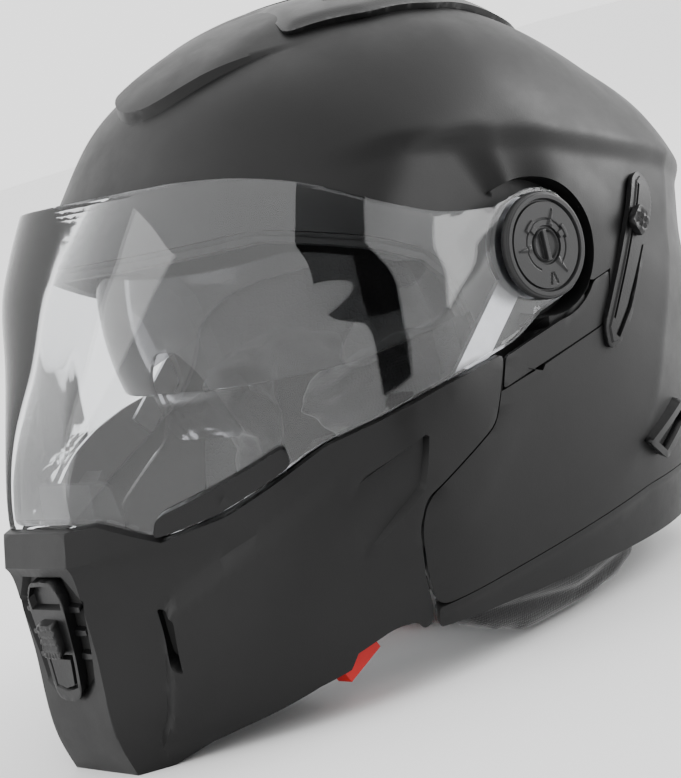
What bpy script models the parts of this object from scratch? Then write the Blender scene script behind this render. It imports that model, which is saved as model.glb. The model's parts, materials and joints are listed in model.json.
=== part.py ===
"""A modular (flip-up) motorcycle helmet, standing on a table.

The helmet faces -Y and the wearer's left is +X. The chin bar, the visor and the sun visor all turn about one
axis, the pivot axis, which runs along X through both side pivots. Every curved wall is a layer round that axis:
a closed surface whose poles are the two pivots. A piece is the part of a layer inside an outline drawn from the
side, in (y, z) measured from the pivot axis.
"""

import math

import bmesh
import bpy
from mathutils import Vector

# ---------------------------------------------------------------- driving dimensions (metres)
PIVOT_Y = 0.0265  # the pivot axis, from the middle of the helmet's length
PIVOT_Z = 0.158  # the pivot axis above the table
LEAN = math.radians(3)  # the helmet leans back this far from the frame of its outlines when it stands
HALF_WIDTH = 0.1250  # outer shell, at the pivots
SHELL_WALL = 0.0045
CHIN_WALL = 0.0040
VISOR_HALF_WIDTH = HALF_WIDTH - 0.0025  # the visor's outside at the pivots
VISOR_WALL = 0.0024
FLAT_HALF_WIDTH = HALF_WIDTH - 0.0130  # the flattened temple that the visor and the chin bar sweep over
SUN_CLEARANCE = 0.0035  # between the temple's inside and the sun visor
SUN_HALF_WIDTH = FLAT_HALF_WIDTH - SHELL_WALL - SUN_CLEARANCE
SUN_RADIUS = 0.1130
SUN_WALL = 0.0020
LINER_GAP = 0.0022  # between the shell and the foam
SUN_GAP = 0.0020  # between the sun visor and the foam
SIDE_FOAM_WALL = 0.0220
HEAD_HALF_WIDTH = SUN_HALF_WIDTH - SIDE_FOAM_WALL  # the space inside the foam
FOAM_WALL = 0.0320
FRONT_FOAM_WALL = 0.0180
PAD_WALL = 0.0080
CHEEK_WALL = 0.0240
PAD_GAP = 0.0015  # between a pad and the foam behind it
BASE_RADIUS = 0.0140
BORE_RADIUS = BASE_RADIUS + 0.0005  # holes in the ear and the arm, round the pivot base
DIAL_RADIUS = 0.0225
EAR_RADIUS = DIAL_RADIUS + 0.0020
POCKET_RADIUS = EAR_RADIUS + 0.0045  # round recess for the visor's ear
ARM_POCKET_RADIUS = POCKET_RADIUS + 0.0230  # the same recess where the chin bar's arm swings
DIAL_THICKNESS = 0.0040
ARM_THICKNESS = 0.0024
ARM_HUB_RADIUS = 0.0215
ARM_HALF_HEIGHT = 0.0060
ARM_LENGTH = 0.0780
ARM_ANGLE = -139.0  # its direction from the pivot, seen from the side
GAP = 0.0004  # between pieces that meet
SEAM_GAP = 0.0012  # between the chin bar and what it closes against
RAISED = 0.0050  # how far the vents and the visor's tab stand out of the surface under them
COVER_RECESS = 0.0024  # depth of the pocket that a side cover lies in
COVER_TOP = -0.0002
COVER_WALL = 0.0018
COVER_EDGE = 0.0006
BRACKET_RADIUS = 0.0100
SUN_HUB_RADIUS = 0.0140
ROLL_SPAN = (-SHELL_WALL - 0.0020, -0.0240)  # neck roll, outside and inside
CHIN_FOAM_SPAN = (-CHIN_WALL - 0.0006, -0.0180)
GASKET_SPAN = (0.0003, -0.0060)
GASKET_HEIGHT = 0.0050
VENT_FRAME_SPAN = (GAP, 0.0034)
VENT_SLIDER_SPAN = (0.0042, 0.0074)
DEFLECTOR_SPAN = (-0.0215, -0.0190)
GRILLE_SPAN = (-0.0010, -0.0034)
TOP_SLIDER_SPAN = (0.0100, 0.0068)
TRACK_SPAN = (0.0025, 0.0012)
LEVER_SPAN = (0.0062, 0.0034)
HOOK_SPAN = (0.696 * HALF_WIDTH, 0.720 * HALF_WIDTH)  # from the middle plane
STRIKER_SPAN = (HOOK_SPAN[1] + GAP, 0.836 * HALF_WIDTH)
STRIKER_RADIUS = 0.0035
STRIKER_CENTRE = (-0.0780, -0.1060)
TAB_SPAN = (0.528 * HALF_WIDTH, 0.600 * HALF_WIDTH)
STRAP_HALF_THICKNESS = 0.0008
STRAP_TOP_X = HEAD_HALF_WIDTH - 0.0055
STRAP_END_X = 0.0225
STRAP_Y = (-0.0420, -0.0200)
ANCHOR_SPAN = (HEAD_HALF_WIDTH - 0.0035, HEAD_HALF_WIDTH - 0.0015)
BUCKLE_Y = (-0.0430, -0.0190)
TONGUE_Y = (-0.0390, -0.0230)
BUCKLE_LEVER_Y = (-0.0380, -0.0240)
FAR = 0.3  # beyond every outline
SIDE_START = 0.0300  # side and top pieces lie further out than this
FRONT_END = -0.1000  # front pieces lie in front of this

# Outer profile seen from the side: angle from +Y over +Z, radius from the pivot axis.
BODY_PROFILE = [
    (-175, 0.186), (-160, 0.209), (-150, 0.226), (-141, 0.250), (-128, 0.266), (-110, 0.262), (-90, 0.252),
    (-70, 0.226), (-47, 0.185), (-35, 0.168), (-10, 0.154), (5, 0.156), (18, 0.148), (36, 0.131), (60, 0.123),
    (90, 0.121), (115, 0.124), (132, 0.130), (150, 0.134), (172, 0.150),
]
VISOR_PROFILE = [
    (-180, 0.170), (-162, 0.203), (-140, 0.225), (-90, 0.220), (0, 0.170), (90, 0.145), (140, 0.147),
    (154, 0.150), (168, 0.158),
]
BODY_POWER = 2.35  # how square a layer is across: 2 is an ellipse
VISOR_POWER = 2.7
SUN_POWER = 2.6
COLUMNS = 36
RINGS = 8
LINER_COLUMNS = (120, 126, 261, 265)  # extra ones where the recess changes radius

# Outlines from the side, (y, z) from the pivot axis.
BROW = [(-FAR, 0.036), (-0.110, 0.036), (-0.079, 0.024), (-0.052, 0.012), (-0.041, 0.001), (-0.0365, -0.018)]
SEAM = [
    (-0.0335, -0.0355), (-0.0400, -0.0530), (-0.0455, -0.0645), (-0.0830, -0.0850), (-0.0865, -0.0960),
    (-0.0860, -0.1160), (-0.0840, -0.1300),
]
TRIM_TOP = [SEAM[-1], (0.0420, -0.1145), (FAR, -0.1080)]
TRIM_BOTTOM_Z = -0.1390
VISOR_TOP = [(-0.0200, 0.0210), (-0.0450, 0.0240), (-0.0700, 0.0345), (-0.0950, 0.0500), (-0.1250, 0.0620),
             (-FAR, 0.0660)]
VISOR_BOTTOM = [(-FAR, -0.0605), (-0.1870, -0.0625), (-0.1700, -0.0750), (-0.1500, -0.0705), (-0.1140, -0.0520),
                (-0.0660, -0.0410), (-0.0240, -0.0340), (-0.0080, -0.0262)]
CHIN_BOTTOM = [(-0.0860, -0.1365), (-0.1300, -0.1480), (-0.1650, -0.1600)]
FACET_START_Y = -0.1780  # the chin bar stands on the flat from here forward
LINER_EDGE = [(-0.0280, -0.0400), (-0.0400, -0.0750), (-0.0600, -0.0950), (-0.0620, -0.1180), (FAR, -0.1060)]
CROWN_PAD = [(-0.0780, 0.0340), (0.1150, 0.0160), (0.1150, 0.1200), (-0.0780, 0.1200)]
CHEEK_PAD = [
    (-0.0720, -0.0420), (-0.0500, -0.0250), (0.0000, -0.0180), (0.0350, -0.0300), (0.0350, -0.1080),
    (-0.0560, -0.1150), (-0.0720, -0.1000),
]
ROLL_FRONT = [(0.1300, -0.1260), (-0.0720, -0.1260), (-0.0720, -0.1380), (-0.0550, -0.1500)]
ROLL_FOOT_Y = (-0.0300, 0.0300)  # where the neck roll stands on the table
ROLL_BACK = [(0.0450, -0.1480), (0.0600, -0.1385), (0.1300, -0.1335)]
REAR_VENT = [(0.0380, -0.0940), (0.0680, -0.0820), (0.0720, -0.0920), (0.0500, -0.1040)]
VISOR_TAB = [
    (-0.1690, -0.0725), (-0.1500, -0.0685), (-0.1250, -0.0560), (-0.1260, -0.0480), (-0.1500, -0.0585),
    (-0.1670, -0.0645),
]
SUN_SHEET = [
    (-0.0100, 0.0140), (-0.0800, 0.0320), (-FAR, 0.0480), (-FAR, -0.0340), (-0.0800, -0.0270),
    (-0.0450, -0.0220), (-0.0100, -0.0140),
]
CHIN_CORNER = (-0.0345, -0.0372)  # where the chin bar's top edge turns into its rear edge
CHIN_FOAM = [
    (-FAR, -0.0720), (-0.1870, -0.0735), (-0.1700, -0.0840), (-0.1500, -0.0800), (-0.1100, -0.0630),
    (-0.1050, -0.0610), (-0.1080, -0.1180), (-0.1200, -0.1300), (-FAR, -0.1300),
]
CURTAIN = [(-FAR, -0.1330), (-0.1180, -0.1330), (-0.1180, -0.1350), (-FAR, -0.1350)]
HOOK = [
    (-0.1020, -0.1180), (-0.0860, -0.1160), (-0.0720, -0.1140), (-0.0720, -0.1030), (-0.0760, -0.1030),
    (-0.0765, -0.1085), (-0.0860, -0.1080), (-0.1020, -0.1060),
]
RELEASE_TAB = [(-0.1150, -0.1480), (-0.0965, -0.1390), (-0.0940, -0.1440), (-0.1125, -0.1530)]
ANCHOR = [(-0.0440, -0.1270), (-0.0180, -0.1270), (-0.0180, -0.1190), (-0.0440, -0.1190)]

# Outlines from the front, (x, z), and from above, (x, y). Those of the middle pieces are one half.
NOSE_NOTCH = [(0.0080, -0.0090), (0.0200, -0.0200), (0.0260, -0.0500)]
SIDE_VENT = [(0.0435, -0.1010), (0.0500, -0.1060), (0.0500, -0.1260), (0.0450, -0.1210)]
VENT_FRAME = [(0.0120, -0.0800), (0.0200, -0.0880), (0.0140, -0.1300), (0.0060, -0.1380)]
VENT_SLIDER = [(0.0060, -0.0980), (0.0060, -0.1120)]
DEFLECTOR = [(0.0300, -0.0540), (0.0340, -0.0780)]
TOP_VENT = [(0.0500, -0.0480), (0.0660, -0.0150), (0.0680, 0.0200), (0.0520, 0.0750), (0.0200, 0.1180)]
TOP_VENT_NOTCH = (0.0, -0.0200)
TOP_SLIDER = [(0.0100, 0.0500), (0.0080, 0.0720)]
STRAP = [(1.0, -0.1190), (0.88, -0.1270), (0.62, -0.1340), (0.324, -0.1380), (0.0, -0.1395)]  # (share of x, z)
BUCKLE_BODY = [(-0.0100, -0.1420), (0.0220, -0.1420), (0.0220, -0.1378), (-0.0100, -0.1378)]
TONGUE = [(-0.0220, -0.1400), (-0.0104, -0.1400), (-0.0104, -0.1384), (-0.0220, -0.1384)]
BUCKLE_LEVER = [(-0.0080, -0.1448), (0.0190, -0.1448), (0.0190, -0.1424), (-0.0080, -0.1424)]


# ---------------------------------------------------------------- small helpers
def material(name, colour, roughness, metallic=0.0, transmission=0.0):
    made = bpy.data.materials.new(name)
    made.use_nodes = True
    shader = made.node_tree.nodes["Principled BSDF"]
    shader.inputs["Base Color"].default_value = (*colour, 1.0)
    shader.inputs["Roughness"].default_value = roughness
    shader.inputs["Metallic"].default_value = metallic
    shader.inputs["Transmission Weight"].default_value = transmission
    return made


def smooth(value, low, high):
    """0 at low, 1 at high, with level ends."""
    share = min(max((value - low) / (high - low), 0.0), 1.0)
    return share * share * (3 - 2 * share)


def mix(a, b, share):
    return a + (b - a) * share


def profile_radius(profile, degrees):
    """The periodic cubic curve through the profile's (angle, radius) points."""
    count = len(profile)
    angle = (degrees - profile[0][0]) % 360 + profile[0][0]
    index = max(i for i in range(count) if profile[i][0] <= angle)

    def knot(i):
        turns, place = divmod(i, count)
        return profile[place][0] + 360 * turns, profile[place][1]

    (x0, y0), (x1, y1), (x2, y2), (x3, y3) = (knot(index + step) for step in (-1, 0, 1, 2))
    t = (angle - x1) / (x2 - x1)
    slope1 = (y2 - y0) / (x2 - x0) * (x2 - x1)
    slope2 = (y3 - y1) / (x3 - x1) * (x2 - x1)
    return (
        (2 * t**3 - 3 * t**2 + 1) * y1 + (t**3 - 2 * t**2 + t) * slope1
        + (3 * t**2 - 2 * t**3) * y2 + (t**3 - t**2) * slope2
    )


def superellipse(share, power):
    return max(0.0, 1 - share**power) ** (1 / power)


WEDGE = [(0.0, 1.0), (0.30, 0.995), (0.45, 0.93), (0.70, 0.66), (0.93, 0.30), (1.0, 0.19)]


def wedge(share):
    """Half-width of the chin bar's pointed plan, for a share of its length forward."""
    for (t0, x0), (t1, x1) in zip(WEDGE, WEDGE[1:]):
        if share <= t1:
            return mix(x0, x1, (share - t0) / (t1 - t0))
    return WEDGE[-1][1]


def chin_share(degrees):
    """0 on the shell, 1 on the chin bar's front, where the plan is a wedge."""
    angle = degrees % 360
    return smooth(angle, 175, 192) * (1 - smooth(angle, 222, 245))


def visor_share(degrees):
    """The same for the visor, which eases into the wedge over its whole height."""
    angle = degrees % 360
    return smooth(angle, 166, 200) * (1 - smooth(angle, 222, 245))


def at(value, degrees):
    """A number, or a function of the angle read at that angle."""
    return value(degrees) if callable(value) else value


class Layer:
    """A closed surface round the pivot axis. half_width, radius, power and cap are functions of the angle."""

    def __init__(self, half_width, radius, power, cap=None, rim=None, floor=0.0, wedge_share=None):
        self.half_width = half_width
        self.radius = radius
        self.power = power
        self.cap = cap
        self.rim = rim
        self.floor = floor
        self.wedge_share = wedge_share

    def reach(self, degrees, distance, offset):
        """x of the surface at a distance from the pivot axis, moved out by offset."""
        radius = at(self.radius, degrees) + offset
        width = at(self.half_width, degrees) + offset
        share = min(distance / radius, 1.0)
        x = superellipse(share, at(self.power, degrees))
        if self.wedge_share is not None:
            x = mix(x, wedge(share), self.wedge_share(degrees))
        x *= width
        if self.cap is not None:
            x = min(x, self.cap(degrees) + offset)
        return x

    def rings(self, degrees, offset):
        """(distance, x) from the pole to the middle plane."""
        radius = at(self.radius, degrees) + offset
        start = 0.012
        rows = []
        if self.rim is not None:
            edge = self.rim(degrees, offset)
            rows.append((edge - 0.0004, self.floor + offset))
            start = edge + 0.0004
        rows.append((start, self.reach(degrees, start, offset)))
        corner = radius * mix(0.990, 0.9995, self.wedge_share(degrees) if self.wedge_share else 0.0)
        for step in range(1, RINGS + 1):
            distance = mix(start, corner, math.sin(math.pi / 2 * step / RINGS))
            rows.append((distance, self.reach(degrees, distance, offset)))
        rows.append((radius, 0.0))
        return rows


def body_radius(degrees):
    return profile_radius(BODY_PROFILE, degrees)


def visor_radius(degrees):
    return profile_radius(VISOR_PROFILE, degrees)


def swept_share(degrees):
    """1 where the visor sweeps over the shell, 0 behind the pivots and below the seam."""
    angle = degrees % 360
    return smooth(angle, 25, 95) * (1 - smooth(angle, 214, 224))


def body_cap(degrees):
    return mix(HALF_WIDTH + 0.005, FLAT_HALF_WIDTH, swept_share(degrees))


def body_rim(degrees, offset):
    """Radius of the pivot recess. Its walls keep their thickness, so it widens with depth."""
    angle = degrees % 360
    spread = math.degrees(-offset / ARM_POCKET_RADIUS)
    share = smooth(angle, 120, 126) * (1 - smooth(angle, 252 + spread, 255 + spread))
    return mix(POCKET_RADIUS, ARM_POCKET_RADIUS, share) - offset


def liner_front(degrees):
    """1 where the sun visor slides between the shell and the foam."""
    angle = degrees % 360
    return smooth(angle, 70, 100) * (1 - smooth(angle, 235, 250))


def liner_radius(degrees):
    back = body_radius(degrees) - SHELL_WALL - LINER_GAP
    return mix(back, SUN_RADIUS - SUN_WALL - SUN_GAP, liner_front(degrees))


def liner_half_width(degrees):
    back = HALF_WIDTH - SHELL_WALL - LINER_GAP
    return mix(back, SUN_HALF_WIDTH - SUN_WALL - SUN_GAP - 0.0015, liner_front(degrees))


def liner_power(degrees):
    return mix(BODY_POWER, SUN_POWER, liner_front(degrees))


def liner_cap(degrees):
    return body_cap(degrees) - SHELL_WALL - LINER_GAP


def liner_rim(degrees, offset):
    return body_rim(degrees, -SHELL_WALL - 0.004) - offset


def head_radius(degrees):
    foam = mix(FOAM_WALL, FRONT_FOAM_WALL, liner_front(degrees))
    return liner_radius(degrees) - foam


BODY = Layer(
    HALF_WIDTH, body_radius, BODY_POWER, cap=body_cap, rim=body_rim, floor=FLAT_HALF_WIDTH,
    wedge_share=chin_share,
)
CHIN = Layer(HALF_WIDTH, body_radius, BODY_POWER, wedge_share=chin_share)
VISOR = Layer(VISOR_HALF_WIDTH, visor_radius, VISOR_POWER, wedge_share=visor_share)
SUN = Layer(SUN_HALF_WIDTH, SUN_RADIUS, SUN_POWER)
LINER = Layer(
    liner_half_width, liner_radius, liner_power, cap=liner_cap, rim=liner_rim,
    floor=SUN_HALF_WIDTH - SUN_WALL - SUN_GAP - 0.0085,
)
HEAD = Layer(HEAD_HALF_WIDTH, head_radius, 2.4)


# ---------------------------------------------------------------- meshes
def new_object(name, mesh, finish, parent=None, location=(0, 0, 0), hidden=False):
    made = bpy.data.objects.new(name, mesh)
    bpy.context.scene.collection.objects.link(made)
    made.location = location
    made.parent = parent
    if finish is not None:
        mesh.materials.append(finish)
    if hidden:
        made.hide_render = True
        made.display_type = "WIRE"
    else:
        mesh.shade_smooth()
        mesh.set_sharp_from_angle(angle=math.radians(35))
    return made


def mesh_from(name, build):
    shape = bmesh.new()
    build(shape)
    mesh = bpy.data.meshes.new(name)
    shape.to_mesh(mesh)
    shape.free()
    return mesh


def add_surface(shape, layer, offset, columns, flip=False):
    """One closed surface, in both halves, with its poles on the pivot axis."""
    def point(distance, x, degrees):
        turn = math.radians(degrees)
        return shape.verts.new((x, distance * math.cos(turn), distance * math.sin(turn)))

    loops = []
    for side in (1, -1):
        columns_rings = [layer.rings(degrees, offset) for degrees in columns]
        count = len(columns_rings[0])
        order = range(count) if side == 1 else range(count - 2, -1, -1)
        for row in order:
            loops.append([
                point(rings[row][0], side * rings[row][1], degrees)
                for rings, degrees in zip(columns_rings, columns)
            ])
    size = len(columns)
    tips = []
    for loop in (loops[0], loops[-1]):
        tips.append(shape.verts.new((loop[0].co.x, 0.0, 0.0)))

    def face(*corners):
        shape.faces.new(corners[::-1] if flip else corners)

    for i in range(size):
        j = (i + 1) % size
        face(tips[0], loops[0][i], loops[0][j])
        face(tips[1], loops[-1][j], loops[-1][i])
        for near, far in zip(loops, loops[1:]):
            face(near[i], far[i], far[j], near[j])


def even_columns(count=COLUMNS, extra=()):
    angles = {round(360 * i / count, 3) for i in range(count)}
    for angle in extra:
        angles = {a for a in angles if abs(a - angle) > 1.5}
        angles.add(angle)
    return sorted(angles)


def layer_mesh(name, layer, outer, inner, extra=(), count=COLUMNS, inner_layer=None):
    """The closed wall between two offsets of a layer, or the whole solid inside outer."""
    def build(shape):
        columns = even_columns(count, extra)
        add_surface(shape, layer, outer, columns)
        if inner is not None:
            add_surface(shape, inner_layer or layer, inner, columns, flip=True)

    return mesh_from(name, build)


def prism_mesh(name, outline, low, high, along="X"):
    """An outline extruded along X, Y or Z. Its points are (y, z), (x, z) or (x, y)."""
    axes = {"X": (1, 2, 0), "Y": (0, 2, 1), "Z": (0, 1, 2)}[along]

    def place(point, depth):
        spot = [0.0, 0.0, 0.0]
        spot[axes[0]], spot[axes[1]], spot[axes[2]] = point[0], point[1], depth
        return spot

    def build(shape):
        ends = [[shape.verts.new(place(p, depth)) for p in outline] for depth in (low, high)]
        count = len(outline)
        shape.faces.new(ends[0])
        shape.faces.new(ends[1][::-1])
        for i in range(count):
            j = (i + 1) % count
            shape.faces.new((ends[0][j], ends[0][i], ends[1][i], ends[1][j]))
        bmesh.ops.recalc_face_normals(shape, faces=shape.faces)
        bmesh.ops.triangulate(shape, faces=[f for f in shape.faces if len(f.verts) > 4])

    return mesh_from(name, build)


def arc(centre, radius, start, end, count):
    return [
        (
            centre[0] + radius * math.cos(math.radians(mix(start, end, i / count))),
            centre[1] + radius * math.sin(math.radians(mix(start, end, i / count))),
        )
        for i in range(count + 1)
    ]


def circle(radius, count=24, centre=(0.0, 0.0)):
    return arc(centre, radius, 0, 360 * (count - 1) / count, count - 1)


def shifted(line, distance):
    """The open line moved sideways, to its left for a positive distance."""
    moved = []
    for i, (y, z) in enumerate(line):
        normals = []
        for a, b in ((i - 1, i), (i, i + 1)):
            if 0 <= a and b < len(line):
                run = Vector((line[b][0] - line[a][0], line[b][1] - line[a][1])).normalized()
                normals.append(Vector((-run.y, run.x)))
        normal = sum(normals, Vector((0, 0))).normalized()
        stretch = 1 / max(normal.dot(normals[0]), 0.5)
        moved.append((y + normal.x * distance * stretch, z + normal.y * distance * stretch))
    return moved


class Piece:
    """A solid that is cut, joined and kept as live Boolean modifiers."""

    def __init__(self, name, mesh, finish, parent, hidden=False):
        self.object = new_object(name, mesh, finish, parent, hidden=hidden)
        self.parent = parent

    def combine(self, operation, mesh):
        step = f"{self.object.name}_{operation.lower()}_{len(self.object.modifiers)}"
        helper = new_object(step, mesh, None, self.parent, hidden=True)
        modifier = self.object.modifiers.new(operation.title(), "BOOLEAN")
        modifier.operation = operation
        modifier.object = helper
        modifier.solver = "EXACT"
        return self

    def keep(self, mesh):
        return self.combine("INTERSECT", mesh)

    def cut(self, mesh):
        return self.combine("DIFFERENCE", mesh)

    def join(self, mesh):
        return self.combine("UNION", mesh)


def empty(name, location, parent=None):
    made = bpy.data.objects.new(name, None)
    bpy.context.scene.collection.objects.link(made)
    made.location = location
    made.parent = parent
    return made


def mirrored(half):
    """Both halves of a middle piece's outline."""
    return [*half, *[(-x, height) for x, height in reversed(half)]]


def side_name(side):
    return "left" if side > 0 else "right"


def span(side, low, high):
    """The x range between two distances from the middle plane, on one side."""
    return (low, high) if side > 0 else (-high, -low)


# ---------------------------------------------------------------- pieces
def floor_z(y):
    """The table top below a point, in the frame of the outlines."""
    return (-PIVOT_Z + y * math.sin(LEAN)) / math.cos(LEAN)


def inset(outline, distance):
    """The closed outline shrunk by a distance."""
    count = len(outline)
    area = sum(
        outline[i][0] * outline[(i + 1) % count][1] - outline[(i + 1) % count][0] * outline[i][1]
        for i in range(count)
    )
    turn = 1 if area > 0 else -1
    moved = []
    for i in range(count):
        before, here, after = (Vector(outline[(i + k) % count]) for k in (-1, 0, 1))
        one = (here - before).normalized()
        two = (after - here).normalized()
        first = Vector((-one.y, one.x)) * turn
        second = Vector((-two.y, two.x)) * turn
        normal = (first + second).normalized()
        moved.append(tuple(here + normal * distance / max(normal.dot(first), 0.5)))
    return moved


def band(name, finish, parent, layer, outer, inner, outline, low=-FAR, high=FAR, **options):
    """The part of a layer's wall inside a side outline, between two x values."""
    piece = Piece(name, layer_mesh(name, layer, outer, inner, **options), finish, parent)
    return piece.keep(prism_mesh(name + "_outline", outline, low, high))


def block(name, finish, parent, outline, low, high, along="X"):
    return Piece(name, prism_mesh(name, outline, low, high, along), finish, parent)


def disc(name, finish, parent, radius, low, high, count=28):
    return block(name, finish, parent, circle(radius, count), low, high)


SIDE_COVER = [
    (-0.0345, -0.0385), *arc((0, 0), POCKET_RADIUS + 0.0024, -90, -40, 5), (0.0360, -0.0180),
    (0.0290, -0.0390), (-0.0395, -0.0520),
]
SUN_TRACK = [
    (0.0760, 0.0120), (0.0700, 0.0180), (0.0640, 0.0160), (0.0230, -0.0400), (0.0230, -0.0500),
    (0.0300, -0.0500), (0.0420, -0.0400), (0.0740, 0.0020),
]
SUN_LEVER = [(0.0635, -0.0030), (0.0585, 0.0050), (0.0500, -0.0010), (0.0550, -0.0090)]


def shell_pieces(pivot, finish):
    outline = [*BROW, *SEAM, *TRIM_TOP[1:], (FAR, -FAR), (-FAR, -FAR)]
    shell = Piece(
        "outer_shell", layer_mesh("outer_shell", BODY, 0, -SHELL_WALL, (120, 126, 252, 255, 257, 260)),
        finish["shell"], pivot,
    )
    shell.cut(prism_mesh("front_and_bottom", outline, -FAR, FAR))
    for side in (1, -1):
        name = side_name(side)
        low, high = span(side, SIDE_START, FAR)
        recess_mesh = layer_mesh("recess", CHIN, 2 * COVER_RECESS, -COVER_RECESS, (), 32)
        cutter = Piece(f"side_cover_recess_{name}", recess_mesh, None, pivot, hidden=True)
        cutter.keep(prism_mesh("recess_outline", SIDE_COVER, low, high))
        recess = shell.object.modifiers.new(f"Side cover recess {name}", "BOOLEAN")
        recess.object = cutter.object
        band(
            f"side_cover_{name}", finish["shell"], pivot, CHIN, COVER_TOP, COVER_TOP - COVER_WALL,
            inset(SIDE_COVER, COVER_EDGE), low, high, count=32,
        )
        band(
            f"rear_vent_{name}", finish["trim"], pivot, CHIN, RAISED, 2 * GAP, REAR_VENT,
            *span(side, SIDE_START, FAR),
        )
    trim_outline = [*shifted(TRIM_TOP, -GAP), (FAR, TRIM_BOTTOM_Z), (TRIM_TOP[0][0], TRIM_BOTTOM_Z)]
    band("lower_rear_trim", finish["shell"], pivot, CHIN, 0, -SHELL_WALL, trim_outline)
    gasket = [*shifted(BROW, -GAP), *reversed(shifted(BROW, -GASKET_HEIGHT))]
    band("eye_port_gasket", finish["rubber"], pivot, BODY, *GASKET_SPAN, gasket)
    housing = Piece(
        "top_vent_housing", layer_mesh("top_vent_housing", CHIN, RAISED, GAP), finish["trim"], pivot
    )
    housing.keep(prism_mesh("top_vent_plan", [*mirrored(TOP_VENT), TOP_VENT_NOTCH], SIDE_START, FAR, "Z"))


def liner_pieces(pivot, finish):
    removed = [
        *shifted(BROW, 0.0070), *LINER_EDGE, (FAR, -FAR), (-FAR, -FAR),
    ]
    liner = Piece(
        "impact_liner", layer_mesh("impact_liner", LINER, 0, 0, LINER_COLUMNS, inner_layer=HEAD),
        finish["foam"], pivot,
    )
    liner.cut(prism_mesh("liner_front_and_bottom", removed, -FAR, FAR))
    band(
        "crown_pad", finish["fabric"], pivot, HEAD, -PAD_GAP, -PAD_WALL, CROWN_PAD,
        extra=LINER_COLUMNS,
    )
    for side in (1, -1):
        band(
            f"cheek_pad_{side_name(side)}", finish["fabric"], pivot, HEAD, -PAD_GAP, -CHEEK_WALL, CHEEK_PAD,
            *span(side, 0.0200, FAR), extra=LINER_COLUMNS,
        )
    roll = [*ROLL_FRONT, *[(y, floor_z(y)) for y in ROLL_FOOT_Y], *ROLL_BACK]
    band("neck_roll", finish["fabric"], pivot, CHIN, *ROLL_SPAN, roll, count=32)


def pivot_pieces(pivot, finish):
    base_start = FLAT_HALF_WIDTH + GAP
    dial_start = VISOR_HALF_WIDTH + 2 * GAP
    for side in (1, -1):
        name = side_name(side)
        low, high = span(side, base_start, dial_start - GAP)
        disc(f"pivot_base_{name}", finish["trim"], pivot, BASE_RADIUS, low, high)
        low, high = span(side, dial_start, dial_start + DIAL_THICKNESS)
        disc(f"pivot_dial_{name}", finish["dial"], pivot, DIAL_RADIUS, low, high, 32)
        low, high = span(side, SUN_HALF_WIDTH + GAP, FLAT_HALF_WIDTH - SHELL_WALL - GAP)
        disc(f"sun_visor_bracket_{name}", finish["trim"], pivot, BRACKET_RADIUS, low, high, 20)


def visor_pieces(pivot, finish):
    ear = arc((0, 0), EAR_RADIUS, -60, 100, 10)
    visor = band("visor", finish["visor"], pivot, VISOR, 0, -VISOR_WALL, [*ear, *VISOR_TOP, *VISOR_BOTTOM])
    visor.cut(prism_mesh("visor_bore", circle(BORE_RADIUS), -FAR, FAR))
    band("visor_tab", finish["trim"], pivot, VISOR, RAISED, GAP, VISOR_TAB, 0.0200, FAR)
    hub = arc((0, 0), SUN_HUB_RADIUS, -70, 70, 6)
    sun = band("sun_visor", finish["smoke"], pivot, SUN, 0, -SUN_WALL, [*hub, *SUN_SHEET])
    sun.cut(prism_mesh("nose_notch", mirrored(NOSE_NOTCH), -FAR, 0, "Y"))


def chin_pieces(pivot, finish):
    top = [(y, z - SEAM_GAP) for y, z in VISOR_BOTTOM[:-1]]
    seam = shifted(SEAM[1:], -SEAM_GAP)
    flat = [(y, floor_z(y)) for y in (FACET_START_Y, -FAR)]
    outline = [*top[:-1], CHIN_CORNER, *seam, *CHIN_BOTTOM, *flat]
    chin = band("chin_bar", finish["shell"], pivot, CHIN, 0, -CHIN_WALL, outline)
    for side in (1, -1):
        name = side_name(side)
        hole = [(side * x, z) for x, z in SIDE_VENT]
        chin.cut(prism_mesh(f"side_vent_hole_{name}", hole, -FAR, FRONT_END, "Y"))
        grille = Piece(
            f"chin_side_vent_{name}", layer_mesh("grille", CHIN, *GRILLE_SPAN), finish["trim"], pivot
        )
        grille.keep(prism_mesh("grille_outline", inset(hole, GAP), -FAR, FRONT_END, "Y"))
    band("chin_bar_liner", finish["foam"], pivot, CHIN, *CHIN_FOAM_SPAN, CHIN_FOAM)
    for name, colour, half, (low, high) in (
        ("chin_vent_housing", "trim", VENT_FRAME, VENT_FRAME_SPAN),
        ("chin_vent_slider", "trim", VENT_SLIDER, VENT_SLIDER_SPAN),
        ("breath_deflector", "rubber", DEFLECTOR, DEFLECTOR_SPAN),
    ):
        piece = Piece(name, layer_mesh(name, CHIN, high, low), finish[colour], pivot)
        piece.keep(prism_mesh(name + "_outline", mirrored(half), -FAR, FRONT_END, "Y"))
    band("chin_curtain", finish["fabric"], pivot, CHIN, -CHIN_WALL - 0.0010, None, CURTAIN)
    hub_edge = math.degrees(math.asin(ARM_HALF_HEIGHT / ARM_HUB_RADIUS))
    turn = math.radians(ARM_ANGLE)
    end = [
        (
            ARM_LENGTH * math.cos(turn) - way * ARM_HALF_HEIGHT * math.sin(turn),
            ARM_LENGTH * math.sin(turn) + way * ARM_HALF_HEIGHT * math.cos(turn),
        )
        for way in (-1, 1)
    ]
    arm = [*arc((0, 0), ARM_HUB_RADIUS, ARM_ANGLE + hub_edge, ARM_ANGLE + 360 - hub_edge, 20), *end]
    arm_start = FLAT_HALF_WIDTH + 2 * GAP
    for side in (1, -1):
        low, high = span(side, arm_start, arm_start + ARM_THICKNESS)
        piece = block(f"chin_bar_arm_{side_name(side)}", finish["steel"], pivot, arm, low, high)
        piece.cut(prism_mesh("arm_bore", circle(BORE_RADIUS), -FAR, FAR))


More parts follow.
